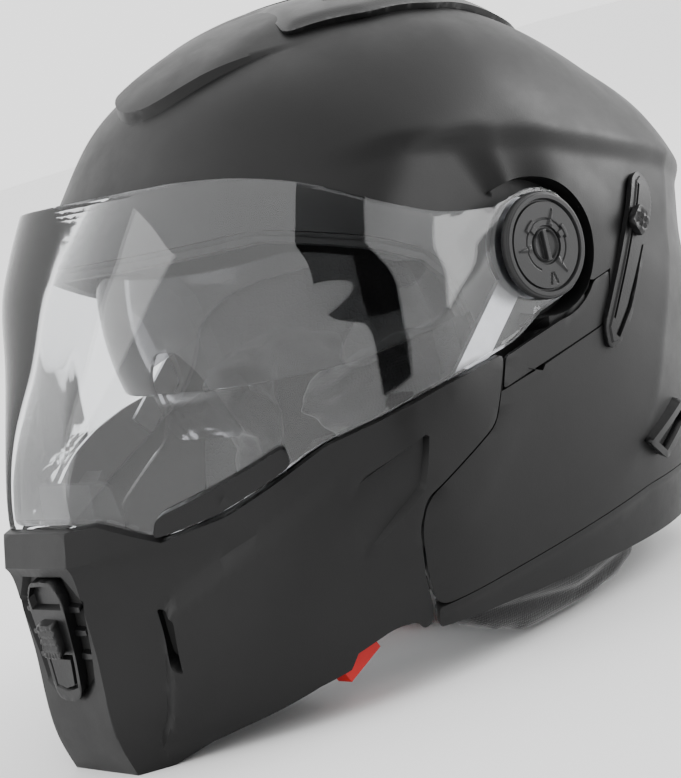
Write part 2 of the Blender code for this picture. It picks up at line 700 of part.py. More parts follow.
def latch_pieces(pivot, finish):
    for side in (1, -1):
        name = side_name(side)
        block(f"latch_hook_{name}", finish["steel"], pivot, HOOK, *span(side, *HOOK_SPAN))
        block(
            f"latch_striker_{name}", finish["steel"], pivot, circle(STRIKER_RADIUS, 12, STRIKER_CENTRE),
            *span(side, *STRIKER_SPAN),
        )
    block("release_tab", finish["red"], pivot, RELEASE_TAB, *TAB_SPAN)


def strap_pieces(pivot, finish):
    middle = [(mix(STRAP_END_X, STRAP_TOP_X, share), z) for share, z in STRAP]
    web = [*shifted(middle, STRAP_HALF_THICKNESS), *reversed(shifted(middle, -STRAP_HALF_THICKNESS))]
    for side in (1, -1):
        name = side_name(side)
        shape = [(side * x, z) for x, z in web]
        block(f"chin_strap_{name}", finish["fabric"], pivot, shape, *STRAP_Y, "Y")
        block(f"strap_anchor_{name}", finish["steel"], pivot, ANCHOR, *span(side, *ANCHOR_SPAN))
    block("buckle_body", finish["trim"], pivot, BUCKLE_BODY, *BUCKLE_Y, "Y")
    block("buckle_tongue", finish["steel"], pivot, TONGUE, *TONGUE_Y, "Y")
    block("buckle_lever", finish["red"], pivot, BUCKLE_LEVER, *BUCKLE_LEVER_Y, "Y")


def slider_pieces(pivot, finish):
    band("sun_slider_track", finish["trim"], pivot, CHIN, *TRACK_SPAN, SUN_TRACK, SIDE_START, FAR)
    band("sun_lever", finish["trim"], pivot, CHIN, *LEVER_SPAN, SUN_LEVER, SIDE_START, FAR)
    slider = Piece(
        "top_vent_slider", layer_mesh("top_vent_slider", CHIN, *TOP_SLIDER_SPAN), finish["trim"], pivot
    )
    slider.keep(prism_mesh("top_slider_plan", mirrored(TOP_SLIDER), SIDE_START, FAR, "Z"))


def main():
    for thing in list(bpy.data.objects):
        bpy.data.objects.remove(thing, do_unlink=True)
    finish = {
        "shell": material("matte black paint", (0.035, 0.036, 0.038), 0.55),
        "trim": material("black moulded plastic", (0.02, 0.02, 0.021), 0.4),
        "dial": material("grey satin plastic", (0.10, 0.10, 0.105), 0.4),
        "rubber": material("black rubber", (0.02, 0.02, 0.02), 0.8),
        "foam": material("black foam", (0.03, 0.03, 0.03), 0.95),
        "fabric": material("black knitted fabric", (0.015, 0.015, 0.016), 0.95),
        "steel": material("zinc plated steel", (0.6, 0.6, 0.62), 0.35, metallic=1.0),
        "red": material("red moulded plastic", (0.6, 0.02, 0.02), 0.4),
        "visor": material("clear polycarbonate", (0.9, 0.92, 0.95), 0.05, transmission=1.0),
        "smoke": material("light smoke polycarbonate", (0.35, 0.36, 0.38), 0.05, transmission=0.9),
    }
    pivot = empty("pivot_axis", (0, PIVOT_Y, PIVOT_Z))
    pivot.rotation_euler = (-LEAN, 0, 0)
    shell_pieces(pivot, finish)
    liner_pieces(pivot, finish)
    pivot_pieces(pivot, finish)
    visor_pieces(pivot, finish)
    chin_pieces(pivot, finish)
    latch_pieces(pivot, finish)
    strap_pieces(pivot, finish)
    slider_pieces(pivot, finish)


main()
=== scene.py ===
import json
import math

import bmesh
import bpy
import numpy as np
from mathutils import Matrix, Vector
from mathutils.geometry import delaunay_2d_cdt
from mathutils.kdtree import KDTree


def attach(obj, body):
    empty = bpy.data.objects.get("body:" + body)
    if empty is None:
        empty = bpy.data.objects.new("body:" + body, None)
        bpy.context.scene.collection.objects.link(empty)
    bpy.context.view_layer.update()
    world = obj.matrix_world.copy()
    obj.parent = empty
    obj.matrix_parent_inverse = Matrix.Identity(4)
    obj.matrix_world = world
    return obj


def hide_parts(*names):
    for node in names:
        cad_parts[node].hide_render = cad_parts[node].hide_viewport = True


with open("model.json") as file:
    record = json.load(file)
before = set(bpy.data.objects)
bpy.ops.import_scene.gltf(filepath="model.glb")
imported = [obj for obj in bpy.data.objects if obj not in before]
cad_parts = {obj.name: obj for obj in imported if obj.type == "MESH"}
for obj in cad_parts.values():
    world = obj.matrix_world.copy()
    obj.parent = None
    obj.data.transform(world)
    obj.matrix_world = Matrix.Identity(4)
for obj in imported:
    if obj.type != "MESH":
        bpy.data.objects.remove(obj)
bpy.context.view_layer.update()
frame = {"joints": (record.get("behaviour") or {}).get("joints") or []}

# ---------------- the design's values, in metres, as in part.py
PIVOT = Vector(next(j["pos_m"] for j in frame["joints"] if j["name"] == "chin_bar_flip"))
LEAN = math.radians(3)
TO_WORLD = Matrix.Translation(PIVOT) @ Matrix.Rotation(-LEAN, 4, "X")
HALF_WIDTH = 0.1250
FLAT_HALF_WIDTH = 0.1120
SOFT_HALF_WIDTH = 0.1170  # where only the visor passes over the temple
FREE_HALF_WIDTH = HALF_WIDTH + 0.0050  # wide enough to leave the shell as it is
TEMPLE_EASE = 0.0018
TEMPLE_FADE = 0.0300
SHELL_WALL = 0.0045
CHIN_WALL = 0.0040
VISOR_HALF_WIDTH = 0.1225
VISOR_WALL = 0.0024
SUN_HALF_WIDTH = 0.1040
SUN_RADIUS = 0.1130
SUN_WALL = 0.0020
POCKET_RADIUS = 0.0290
ARM_POCKET_RADIUS = 0.0520
EAR_RADIUS = 0.0245
BORE_RADIUS = 0.0145
DIAL_RADIUS = 0.0225
GAP = 0.0004
SEAM_GAP = 0.0012
COVER_RECESS = 0.0024
FAR = 0.3

BODY_PROFILE = [
    (-175, 0.186), (-160, 0.209), (-150, 0.226), (-141, 0.250), (-128, 0.266), (-110, 0.262), (-90, 0.252),
    (-70, 0.226), (-47, 0.185), (-35, 0.168), (-10, 0.154), (5, 0.156), (18, 0.148), (36, 0.131), (60, 0.123),
    (90, 0.121), (115, 0.124), (132, 0.130), (150, 0.134), (172, 0.150),
]
VISOR_PROFILE = [
    (-180, 0.170), (-162, 0.203), (-140, 0.225), (-90, 0.220), (0, 0.170), (90, 0.145), (140, 0.147),
    (154, 0.150), (168, 0.158),
]
BODY_POWER = 2.35
VISOR_POWER = 2.7
SUN_POWER = 2.6
WEDGE = [(0.0, 1.0), (0.30, 0.995), (0.45, 0.93), (0.70, 0.66), (0.93, 0.30), (1.0, 0.19)]
NOSE = 0.12  # share of the way to the middle plane that the flat front of the wedge takes

BROW = [(-FAR, 0.036), (-0.110, 0.036), (-0.079, 0.024), (-0.052, 0.012), (-0.041, 0.001), (-0.0365, -0.018)]
SEAM = [
    (-0.0335, -0.0355), (-0.0400, -0.0530), (-0.0455, -0.0645), (-0.0830, -0.0850), (-0.0865, -0.0960),
    (-0.0860, -0.1160), (-0.0840, -0.1300),
]
TRIM_TOP = [SEAM[-1], (0.0420, -0.1145), (FAR, -0.1080)]
TRIM_BOTTOM_Z = -0.1390
VISOR_TOP = [(-0.0200, 0.0210), (-0.0450, 0.0240), (-0.0700, 0.0345), (-0.0950, 0.0500), (-0.1250, 0.0620),
             (-FAR, 0.0660)]
VISOR_BOTTOM = [
    (-FAR, -0.0605), (-0.1870, -0.0625), (-0.1700, -0.0750), (-0.1500, -0.0705),
    (-0.1140, -0.0520), (-0.0660, -0.0410), (-0.0240, -0.0340), (-0.0080, -0.0262),
]
CHIN_BOTTOM = [(-0.0860, -0.1365), (-0.1300, -0.1480), (-0.1650, -0.1600)]
FACET_START_Y = -0.1780


# ---------------- layers
def smooth(value, low, high):
    share = np.clip((value - low) / (high - low), 0.0, 1.0)
    return share * share * (3 - 2 * share)


def mix(a, b, share):
    return a + (b - a) * share


def periodic(profile):
    """The periodic cubic curve through (angle, radius) points, as a function of the angle in degrees."""
    knots = np.array(profile)
    angles = np.concatenate([knots[-2:, 0] - 360, knots[:, 0], knots[:3, 0] + 360])
    radii = np.concatenate([knots[-2:, 1], knots[:, 1], knots[:3, 1]])

    def radius(degrees):
        place = (degrees - knots[0, 0]) % 360 + knots[0, 0]
        i = np.searchsorted(angles, place, side="right") - 1
        x0, x1, x2, x3 = (angles[i + k] for k in (-1, 0, 1, 2))
        y0, y1, y2, y3 = (radii[i + k] for k in (-1, 0, 1, 2))
        t = (place - x1) / (x2 - x1)
        slope1 = (y2 - y0) / (x2 - x0) * (x2 - x1)
        slope2 = (y3 - y1) / (x3 - x1) * (x2 - x1)
        return (
            (2 * t**3 - 3 * t**2 + 1) * y1 + (t**3 - 2 * t**2 + t) * slope1
            + (3 * t**2 - 2 * t**3) * y2 + (t**3 - t**2) * slope2
        )

    return radius


def soft_wedge():
    """The wedge's half-width with its inner corners eased, sampled along its length."""
    shares = np.linspace(0, 1, 201)
    widths = np.interp(shares, *np.array(WEDGE).T)
    reach = 14
    padded = np.concatenate([np.ones(reach), widths, widths[-1] - (widths[-2:-2 - reach:-1] - widths[-1])])
    kernel = np.hanning(2 * reach + 1)
    return shares, np.convolve(padded, kernel / kernel.sum(), "valid")


WEDGE_SHARES, WEDGE_WIDTHS = soft_wedge()
body_radius = periodic(BODY_PROFILE)
visor_radius = periodic(VISOR_PROFILE)


def chin_share(degrees):
    angle = degrees % 360
    return smooth(angle, 175, 192) * (1 - smooth(angle, 222, 245))


def visor_share(degrees):
    angle = degrees % 360
    return smooth(angle, 166, 200) * (1 - smooth(angle, 222, 245))


def no_share(degrees):
    return np.zeros_like(degrees)


def swept_share(degrees):
    angle = degrees % 360
    return smooth(angle, 25, 95) * (1 - smooth(angle, 214, 224))


def body_rim(degrees):
    angle = degrees % 360
    share = smooth(angle, 120, 126) * (1 - smooth(angle, 252, 255))
    return mix(POCKET_RADIUS, ARM_POCKET_RADIUS, share)


def temple_and_pocket(degrees, distance, x, offset):
    """The shell's flattened temple and the round recess for the visor's ear."""
    angle = degrees % 360
    near = 1 - smooth(distance, ARM_POCKET_RADIUS, ARM_POCKET_RADIUS + TEMPLE_FADE)
    arm = smooth(angle, mix(132, 98, near), mix(148, 120, near)) * (1 - smooth(angle, 214, 224))
    soft = mix(FREE_HALF_WIDTH, SOFT_HALF_WIDTH, swept_share(degrees))
    cap = mix(soft, FLAT_HALF_WIDTH, arm) + offset
    x = -TEMPLE_EASE * np.logaddexp(-x / TEMPLE_EASE, -cap / TEMPLE_EASE)
    inside = distance < body_rim(degrees) - offset
    return np.where(inside, np.minimum(x, FLAT_HALF_WIDTH + offset), x)


def constant(value):
    return lambda degrees: np.full_like(degrees, value)


class Layer:
    """A closed surface round the pivot axis. A place on it is (degrees, way): way is 0 at the pivot, 1 at the
    middle plane. In the flat domain, that place is at way * (cos, sin) of its angle."""

    def __init__(self, half_width, radius, power, wedge_share=no_share, finish=None):
        self.half_width = half_width if callable(half_width) else constant(half_width)
        self.radius = radius if callable(radius) else constant(radius)
        self.power = power if callable(power) else constant(power)
        self.wedge_share = wedge_share
        self.finish = finish

    def corner(self, degrees):
        return 1 - NOSE * self.wedge_share(degrees)

    def width_share(self, degrees, share):
        power = self.power(degrees)
        wedge = self.wedge_share(degrees)
        round_part = np.maximum(0, 1 - share**power) ** (1 / power)
        return mix(round_part, np.interp(share, WEDGE_SHARES, WEDGE_WIDTHS), wedge)

    def point(self, degrees, way, offset):
        corner = self.corner(degrees)
        share = np.sin(np.pi / 2 * np.minimum(way / corner, 1))
        x = self.width_share(degrees, share)
        beyond = np.clip((way - corner) / np.maximum(1 - corner, 1e-9), 0, 1)
        x = np.where(way >= corner, WEDGE_WIDTHS[-1] * self.wedge_share(degrees) * (1 - beyond), x)
        x = x * (self.half_width(degrees) + offset)
        distance = share * (self.radius(degrees) + offset)
        if self.finish is not None:
            x = self.finish(degrees, distance, x, offset)
        turn = np.radians(degrees)
        return np.stack([x, distance * np.cos(turn), distance * np.sin(turn)], axis=-1)

    def domain(self, y, z):
        """The flat place of points given from the side; outside the silhouette it is the middle plane."""
        degrees = np.degrees(np.arctan2(z, y))
        share = np.hypot(y, z) / self.radius(degrees)
        way = np.where(
            share < 1, self.corner(degrees) * np.arcsin(np.minimum(share, 1)) * 2 / np.pi, 1.0
        )
        return self.place(degrees, way)

    @staticmethod
    def place(degrees, way):
        turn = np.radians(degrees)
        return np.stack([way * np.cos(turn), way * np.sin(turn)], axis=-1)

    def domain_front(self, x, z, upright=False):
        """The flat place of points given from the front, as (x, z), or from above, as (x, y)."""
        low, high = np.full_like(x, 0.02), np.full_like(x, 0.35)
        for _ in range(40):
            middle = (low + high) / 2
            y_now, z_now = (z, middle) if upright else (-middle, z)
            degrees = np.degrees(np.arctan2(z_now, y_now))
            share = np.hypot(y_now, z_now) / self.radius(degrees)
            reach = self.width_share(degrees, np.minimum(share, 1)) * self.half_width(degrees)
            inside = (share < 1) & (reach > np.abs(x))
            low, high = np.where(inside, middle, low), np.where(inside, high, middle)
        corner = self.corner(degrees)
        nose = WEDGE_WIDTHS[-1] * self.wedge_share(degrees) * self.half_width(degrees)
        on_nose = (share > 0.9995) & (np.abs(x) < nose)
        way = corner * np.arcsin(np.clip(share, 0, 1)) * 2 / np.pi
        way = np.where(on_nose, mix(1.0, corner, np.abs(x) / np.maximum(nose, 1e-9)), way)
        way = np.where(np.abs(x) < 1e-7, 1.0, way)
        return self.place(degrees, way)


BODY = Layer(HALF_WIDTH, body_radius, BODY_POWER, chin_share, temple_and_pocket)
CHIN = Layer(HALF_WIDTH, body_radius, BODY_POWER, chin_share)
VISOR = Layer(VISOR_HALF_WIDTH, visor_radius, VISOR_POWER, visor_share)
SUN = Layer(SUN_HALF_WIDTH, SUN_RADIUS, SUN_POWER)


# ---------------- outlines
def shifted(line, distance):
    """The open line moved sideways, to its left for a positive distance."""
    moved = []
    for i, (y, z) in enumerate(line):
        normals = []
        for a, b in ((i - 1, i), (i, i + 1)):
            if 0 <= a and b < len(line):
                run = Vector((line[b][0] - line[a][0], line[b][1] - line[a][1])).normalized()
                normals.append(Vector((-run.y, run.x)))
        normal = sum(normals, Vector((0, 0))).normalized()
        stretch = 1 / max(normal.dot(normals[0]), 0.5)
        moved.append((y + normal.x * distance * stretch, z + normal.y * distance * stretch))
    return moved


def inset(outline, distance):
    """The closed outline shrunk by a distance."""
    count = len(outline)
    area = sum(
        outline[i][0] * outline[(i + 1) % count][1] - outline[(i + 1) % count][0] * outline[i][1]
        for i in range(count)
    )
    turn = 1 if area > 0 else -1
    moved = []
    for i in range(count):
        before, here, after = (Vector(outline[(i + k) % count]) for k in (-1, 0, 1))
        one = (here - before).normalized()
        two = (after - here).normalized()
        first = Vector((-one.y, one.x)) * turn
        second = Vector((-two.y, two.x)) * turn
        normal = (first + second).normalized()
        moved.append(tuple(here + normal * distance / max(normal.dot(first), 0.5)))
    return moved


def rounded(outline, radius, steps=4, closed=True, near=0.0):
    """The outline with its corners rounded. A corner further out than near stays as it is."""
    count = len(outline)
    made = []
    for i in range(count):
        here = Vector(outline[i])
        if (not closed and i in (0, count - 1)) or (near and here.length > near):
            made.append(tuple(here))
            continue
        before, after = Vector(outline[i - 1]), Vector(outline[(i + 1) % count])
        back, forth = before - here, after - here
        reach = min(radius, back.length * 0.45, forth.length * 0.45)
        start, end = here + back.normalized() * reach, here + forth.normalized() * reach
        for k in range(steps + 1):
            t = k / steps
            made.append(tuple((1 - t) ** 2 * start + 2 * t * (1 - t) * here + t * t * end))
    return made


def arc(centre, radius, start, end, count):
    return [
        (
            centre[0] + radius * math.cos(math.radians(mix(start, end, i / count))),
            centre[1] + radius * math.sin(math.radians(mix(start, end, i / count))),
        )
        for i in range(count + 1)
    ]


def circle(radius, count):
    return arc((0.0, 0.0), radius, 0, 360 * (count - 1) / count, count - 1)


def dense(outline, step, closed=True):
    """The outline with a point at least every step."""
    points = np.array(outline, float)
    following = np.roll(points, -1, axis=0) if closed else points[1:]
    made = []
    for a, b in zip(points, following):
        count = max(1, int(np.ceil(np.hypot(*(b - a)) / step)))
        made.extend(a + (b - a) * k / count for k in range(count))
    if not closed:
        made.append(points[-1])
    return np.array(made)


def side_line(layer, outline, step=0.002, closed=True):
    """A side outline, (y, z), in the layer's flat domain, with its crossings of the middle plane."""
    points = dense(outline, step, closed)
    degrees = np.degrees(np.arctan2(points[:, 1], points[:, 0]))
    inside = np.hypot(*points.T) < layer.radius(degrees)
    made = []
    total = len(points)
    for i in range(total):
        made.append(layer.domain(*points[i]))
        j = (i + 1) % total
        if (j == 0 and not closed) or inside[i] == inside[j]:
            continue
        a, b = (points[i], points[j]) if inside[i] else (points[j], points[i])
        for _ in range(30):
            middle = (a + b) / 2
            angle = np.degrees(np.arctan2(middle[1], middle[0]))
            if np.hypot(*middle) < layer.radius(angle):
                a = middle
            else:
                b = middle
        angle = np.degrees(np.arctan2(b[1], b[0]))
        crossing = [layer.place(angle, layer.corner(angle)), layer.place(angle, 1.0)]
        if layer.corner(angle) > 0.9999:
            crossing = crossing[1:]
        made.extend(crossing if inside[i] else crossing[::-1])
    return np.array(made)


def front_line(layer, outline, step=0.0015, closed=True, upright=False):
    """An outline given from the front, (x, z), or from above, (x, y), in the layer's flat domain."""
    points = dense(outline, step, closed)
    return layer.domain_front(points[:, 0], points[:, 1], upright=upright)


def inside_of(polygons, points):
    """Whether each point is inside an odd number of the polygons."""
    count = np.zeros(len(points), int)
    for polygon in polygons:
        following = np.roll(polygon, -1, axis=0)
        for (ax, ay), (bx, by) in zip(polygon, following):
            if ay == by:
                continue
            crosses = (points[:, 1] < ay) != (points[:, 1] < by)
            at_x = ax + (points[:, 1] - ay) * (bx - ax) / (by - ay)
            count += crosses & (points[:, 0] < at_x)
    return count % 2 == 1


def distance_to(line, a, b, closed=False):
    """Distance of the points (a, b) to a line, and to its left as positive."""
    points = np.array(line, float)
    following = np.roll(points, -1, axis=0) if closed else points[1:]
    best = np.full(len(a), 1e9)
    side = np.ones(len(a))
    for start, end in zip(points, following):
        run = end - start
        length = max(np.hypot(*run), 1e-9)
        t = np.clip(((a - start[0]) * run[0] + (b - start[1]) * run[1]) / length**2, 0, 1)
        away = np.hypot(a - start[0] - t * run[0], b - start[1] - t * run[1])
        left = run[0] * (b - start[1]) - run[1] * (a - start[0])
        side = np.where(away < best - 1e-9, np.sign(left), side)
        best = np.minimum(best, away)
    return best * side


def depth_in(outline, a, b):
    """Distance of the points inside the closed outline to its edge, and 0 outside."""
    inside = inside_of([np.array(outline, float)], np.stack([a, b], axis=-1))
    return np.where(inside, np.abs(distance_to(outline, a, b, closed=True)), 0.0)


# ---------------- meshes
def add_mesh(name, points, faces, material, body, replaces=(), sharp=38):
    """A shaded piece from points in the pivot frame, riding on a body."""
    mesh = bpy.data.meshes.new(name)
    mesh.from_pydata([tuple(p) for p in points], [], [tuple(f) for f in faces])
    return finish_mesh(name, mesh, material, body, replaces, sharp)


def finish_mesh(name, mesh, material, body, replaces=(), sharp=38):
    mesh.transform(TO_WORLD)
    mesh.validate()
    mesh.update()
    mesh.shade_smooth()
    mesh.set_sharp_from_angle(angle=math.radians(sharp))
    made = bpy.data.objects.new(name, mesh)
    bpy.context.scene.collection.objects.link(made)
    mesh.materials.append(material)
    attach(made, body)
    if replaces:
        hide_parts(*replaces)
    return made


def flat_grid(lines, spacing, creases):
    """Triangles of the flat domain inside the closed lines, with corners on every line and crease."""
    corners = []
    edges = []
    for line, closed in [(line, True) for line in lines] + [(line, False) for line in creases]:
        start = len(corners)
        way = np.hypot(*line.T)
        corners.extend(line)
        count = len(line)
        for i in range(count if closed else count - 1):
            j = (i + 1) % count
            if way[i] < 1 - 1e-7 or way[j] < 1 - 1e-7:
                edges.append((start + i, start + j))
    fixed = np.array(corners)
    tree = KDTree(len(fixed))
    for i, (u, v) in enumerate(fixed):
        tree.insert((u, v, 0), i)
    tree.balance()
    low, high = fixed.min(axis=0) - spacing, fixed.max(axis=0) + spacing
    rows = np.arange(low[1], high[1], spacing * math.sqrt(3) / 2)
    grid = []
    for r, v in enumerate(rows):
        us = np.arange(low[0] + (r % 2) * spacing / 2, high[0], spacing)
        grid.append(np.stack([us, np.full_like(us, v)], axis=-1))
    grid = np.concatenate(grid)
    grid = grid[np.hypot(*grid.T) < 1 - 0.55 * spacing]
    grid = np.array([p for p in grid if tree.find((p[0], p[1], 0))[2] > 0.55 * spacing])
    turns = np.arange(0, 2 * np.pi, spacing)
    border = np.stack([np.cos(turns), np.sin(turns)], axis=-1)
    border = np.array([p for p in border if tree.find((p[0], p[1], 0))[2] > 0.4 * spacing])
    points = np.concatenate([part for part in (fixed, grid, border) if len(part)])
    out = delaunay_2d_cdt([Vector(p) for p in points], edges, [], 0, 1e-7, False)
    flat = np.array([tuple(p) for p in out[0]])
    triangles = np.array([tuple(f) for f in out[2]])
    polygons = []
    for line in lines:
        way = np.hypot(*line.T)[:, None]
        polygons.append(np.where(way > 1 - 1e-7, line * 1.05, line))
    keep = inside_of(polygons, flat[triangles].mean(axis=1))
    triangles = triangles[keep]
    used, index = np.unique(triangles, return_inverse=True)
    return flat[used], index.reshape(-1, 3)


def panel(name, layer, lines, outer, inner, material, body, spacing=0.0125, creases=(), relief=None,
          sides=(1, -1), joined=True, bevel=0.0006, segments=2, replaces=()):
    """A closed wall of a layer inside flat outlines: its outer face at outer plus the relief, its inner
    face at inner. A joined panel has both halves in one piece; otherwise each side is its own piece."""
    flat, triangles = flat_grid(lines, spacing, creases)
    way = np.minimum(np.hypot(*flat.T), 1.0)
    degrees = np.degrees(np.arctan2(flat[:, 1], flat[:, 0]))
    rim = way > 1 - 1e-6
    way = np.where(rim, 1.0, way)
    base = layer.point(degrees, way, 0.0)
    lift = outer + (relief(degrees, base) if relief else 0.0)
    top = layer.point(degrees, way, lift)
    bottom = layer.point(degrees, way, inner)
    made = []
    groups = [sides] if joined else [(side,) for side in sides]
    for group in groups:
        points, outer_faces, inner_faces = [], [], []
        total = 0
        shared = {}
        for side in group:
            index = np.empty(len(flat), int)
            for i in range(len(flat)):
                if rim[i] and joined and i in shared:
                    index[i] = shared[i]
                    continue
                index[i] = total
                points.append((top[i] * (side, 1, 1), bottom[i] * (side, 1, 1)))
                if rim[i]:
                    shared[i] = total
                total += 1
            faces = index[triangles] if side > 0 else index[triangles][:, ::-1]
            outer_faces.extend(faces)
        count = total
        points = [p[0] for p in points] + [p[1] for p in points]
        directed = set()
        for a, b, c in outer_faces:
            directed.update(((a, b), (b, c), (c, a)))
        inner_faces = [(c + count, b + count, a + count) for a, b, c in outer_faces]
        border = [(a, b) for a, b in directed if (b, a) not in directed]
        border.sort()
        walls = [(b, a, a + count, b + count) for a, b in border]
        shape = bmesh.new()
        corners = [shape.verts.new(p) for p in points]
        for face in [*outer_faces, *inner_faces, *walls]:
            shape.faces.new([corners[i] for i in face])
        if bevel:
            rims = [shape.edges.get((corners[a], corners[b])) for a, b in border]
            rims += [shape.edges.get((corners[a + count], corners[b + count])) for a, b in border]
            bmesh.ops.bevel(
                shape, geom=[e for e in rims if e is not None], offset=bevel, segments=segments, profile=0.5,
                affect="EDGES", clamp_overlap=True,
            )
        title = name if joined else f"{name}_{'left' if group[0] > 0 else 'right'}"
        mesh = bpy.data.meshes.new(title)
        shape.to_mesh(mesh)
        shape.free()
        names = [n.format(side="left" if group[0] > 0 else "right") for n in replaces]
        made.append(finish_mesh(title, mesh, material, body, names))
    return made[0] if joined else made


# ---------------- materials
WEAR_SPREAD = 0.06
CLEAR_HAZE = 0.02


def new_material(name):
    made = bpy.data.materials.new(name)
    made.use_nodes = True
    nodes, links = made.node_tree.nodes, made.node_tree.links
    shader = nodes["Principled BSDF"]
    return made, nodes, links, shader


def noise(nodes, links, scale, detail=3.0, roughness=0.55):
    coordinates = nodes.new("ShaderNodeTexCoord")
    texture = nodes.new("ShaderNodeTexNoise")
    texture.inputs["Scale"].default_value = scale
    texture.inputs["Detail"].default_value = detail
    texture.inputs["Roughness"].default_value = roughness
    links.new(coordinates.outputs["Object"], texture.inputs["Vector"])
    return texture.outputs["Fac"]


def remapped(nodes, links, source, low, high, start=0.3, end=0.7):
    ramp = nodes.new("ShaderNodeMapRange")
    ramp.inputs["From Min"].default_value = start
    ramp.inputs["From Max"].default_value = end
    ramp.inputs["To Min"].default_value = low
    ramp.inputs["To Max"].default_value = high
    links.new(source, ramp.inputs["Value"])
    return ramp.outputs["Result"]


def tinted(nodes, links, source, dark, light, start=0.3, end=0.7):
    ramp = nodes.new("ShaderNodeValToRGB")
    ramp.color_ramp.elements[0].position = start
    ramp.color_ramp.elements[1].position = end
    ramp.color_ramp.elements[0].color = (*dark, 1)
    ramp.color_ramp.elements[1].color = (*light, 1)
    links.new(source, ramp.inputs["Fac"])
    return ramp.outputs["Color"]


def bumped(nodes, links, shader, sources, distance):
    """Chains bumps: each source is (height socket, strength)."""
    last = None
    for height, strength in sources:
        bump = nodes.new("ShaderNodeBump")
        bump.inputs["Strength"].default_value = strength
        bump.inputs["Distance"].default_value = distance
        links.new(height, bump.inputs["Height"])
        if last is not None:
            links.new(last, bump.inputs["Normal"])
        last = bump.outputs["Normal"]
    links.new(last, shader.inputs["Normal"])


def moulded(name, dark, light, roughness, grain=1400, strength=0.25):
    """Paint or moulded plastic: a slow colour drift, a fine grain and a roughness that wanders."""
    made, nodes, links, shader = new_material(name)
    slow = noise(nodes, links, 14, 4)
    fine = noise(nodes, links, grain, 2)
    links.new(tinted(nodes, links, slow, dark, light), shader.inputs["Base Color"])
    wander = noise(nodes, links, 38, 5, 0.65)
    worn = remapped(nodes, links, wander, roughness - WEAR_SPREAD, roughness + WEAR_SPREAD)
    links.new(worn, shader.inputs["Roughness"])
    shader.inputs["Specular IOR Level"].default_value = 0.27
    bumped(nodes, links, shader, [(fine, strength)], 0.00012)
    return made


def knitted(name, dark, light, scale):
    """Open knitted mesh: rows of small dark cells with a soft sheen on the threads."""
    made, nodes, links, shader = new_material(name)
    coordinates = nodes.new("ShaderNodeTexCoord")
    cells = nodes.new("ShaderNodeTexVoronoi")
    cells.feature = "F1"
    cells.inputs["Scale"].default_value = scale
    cells.inputs["Randomness"].default_value = 0.25
    links.new(coordinates.outputs["Object"], cells.inputs["Vector"])
    pattern = remapped(nodes, links, cells.outputs["Distance"], 0.0, 1.0, 0.15, 0.6)
    links.new(tinted(nodes, links, pattern, dark, light, 0.1, 0.7), shader.inputs["Base Color"])
    fuzz = noise(nodes, links, 900, 4)
    links.new(remapped(nodes, links, fuzz, 0.82, 0.98), shader.inputs["Roughness"])
    shader.inputs["Sheen Weight"].default_value = 0.35
    shader.inputs["Sheen Roughness"].default_value = 0.5
    shader.inputs["Specular IOR Level"].default_value = 0.25
    bumped(nodes, links, shader, [(pattern, 0.4), (fuzz, 0.2)], 0.0003)
    return made


def woven(name, dark, light):
    """Webbing: ribs across a strap, with a herringbone of finer threads."""
    made, nodes, links, shader = new_material(name)
    coordinates = nodes.new("ShaderNodeTexCoord")
    height = []
    for direction, scale in (("X", 260), ("Y", 420)):
        wave = nodes.new("ShaderNodeTexWave")
        wave.bands_direction = direction
        wave.inputs["Scale"].default_value = scale
        wave.inputs["Distortion"].default_value = 0.6
        links.new(coordinates.outputs["Object"], wave.inputs["Vector"])
        height.append(wave.outputs["Fac"])
    links.new(tinted(nodes, links, height[0], dark, light), shader.inputs["Base Color"])
    fuzz = noise(nodes, links, 1200, 3)
    links.new(remapped(nodes, links, fuzz, 0.7, 0.9), shader.inputs["Roughness"])
    shader.inputs["Sheen Weight"].default_value = 0.2
    bumped(nodes, links, shader, [(height[0], 0.5), (height[1], 0.4), (fuzz, 0.2)], 0.0004)
    return made


def beaded(name, dark, light):
    """Expanded foam: packed beads with dark joints."""
    made, nodes, links, shader = new_material(name)
    coordinates = nodes.new("ShaderNodeTexCoord")
    cells = nodes.new("ShaderNodeTexVoronoi")
    cells.feature = "DISTANCE_TO_EDGE"
    cells.inputs["Scale"].default_value = 330
    links.new(coordinates.outputs["Object"], cells.inputs["Vector"])
    joint = remapped(nodes, links, cells.outputs["Distance"], 0.0, 1.0, 0.0, 0.12)
    links.new(tinted(nodes, links, joint, dark, light, 0.0, 0.6), shader.inputs["Base Color"])
    slow = noise(nodes, links, 60, 3)
    links.new(remapped(nodes, links, slow, 0.75, 0.95), shader.inputs["Roughness"])
    bumped(nodes, links, shader, [(joint, 0.5)], 0.0003)
    return made


def plated(name):
    """Zinc plated steel: drawn scratches along one way, and a cloudy roughness."""
    made, nodes, links, shader = new_material(name)
    shader.inputs["Metallic"].default_value = 1.0
    slow = noise(nodes, links, 70, 5)
    links.new(tinted(nodes, links, slow, (0.42, 0.42, 0.44), (0.62, 0.62, 0.64)), shader.inputs["Base Color"])
    links.new(remapped(nodes, links, slow, 0.28, 0.45), shader.inputs["Roughness"])
    coordinates = nodes.new("ShaderNodeTexCoord")
    stretch = nodes.new("ShaderNodeMapping")
    stretch.inputs["Scale"].default_value = (60, 1500, 1500)
    scratches = nodes.new("ShaderNodeTexNoise")
    scratches.inputs["Scale"].default_value = 1.0
    links.new(coordinates.outputs["Object"], stretch.inputs["Vector"])
    links.new(stretch.outputs["Vector"], scratches.inputs["Vector"])
    bumped(nodes, links, shader, [(scratches.outputs["Fac"], 0.2)], 0.00008)
    return made


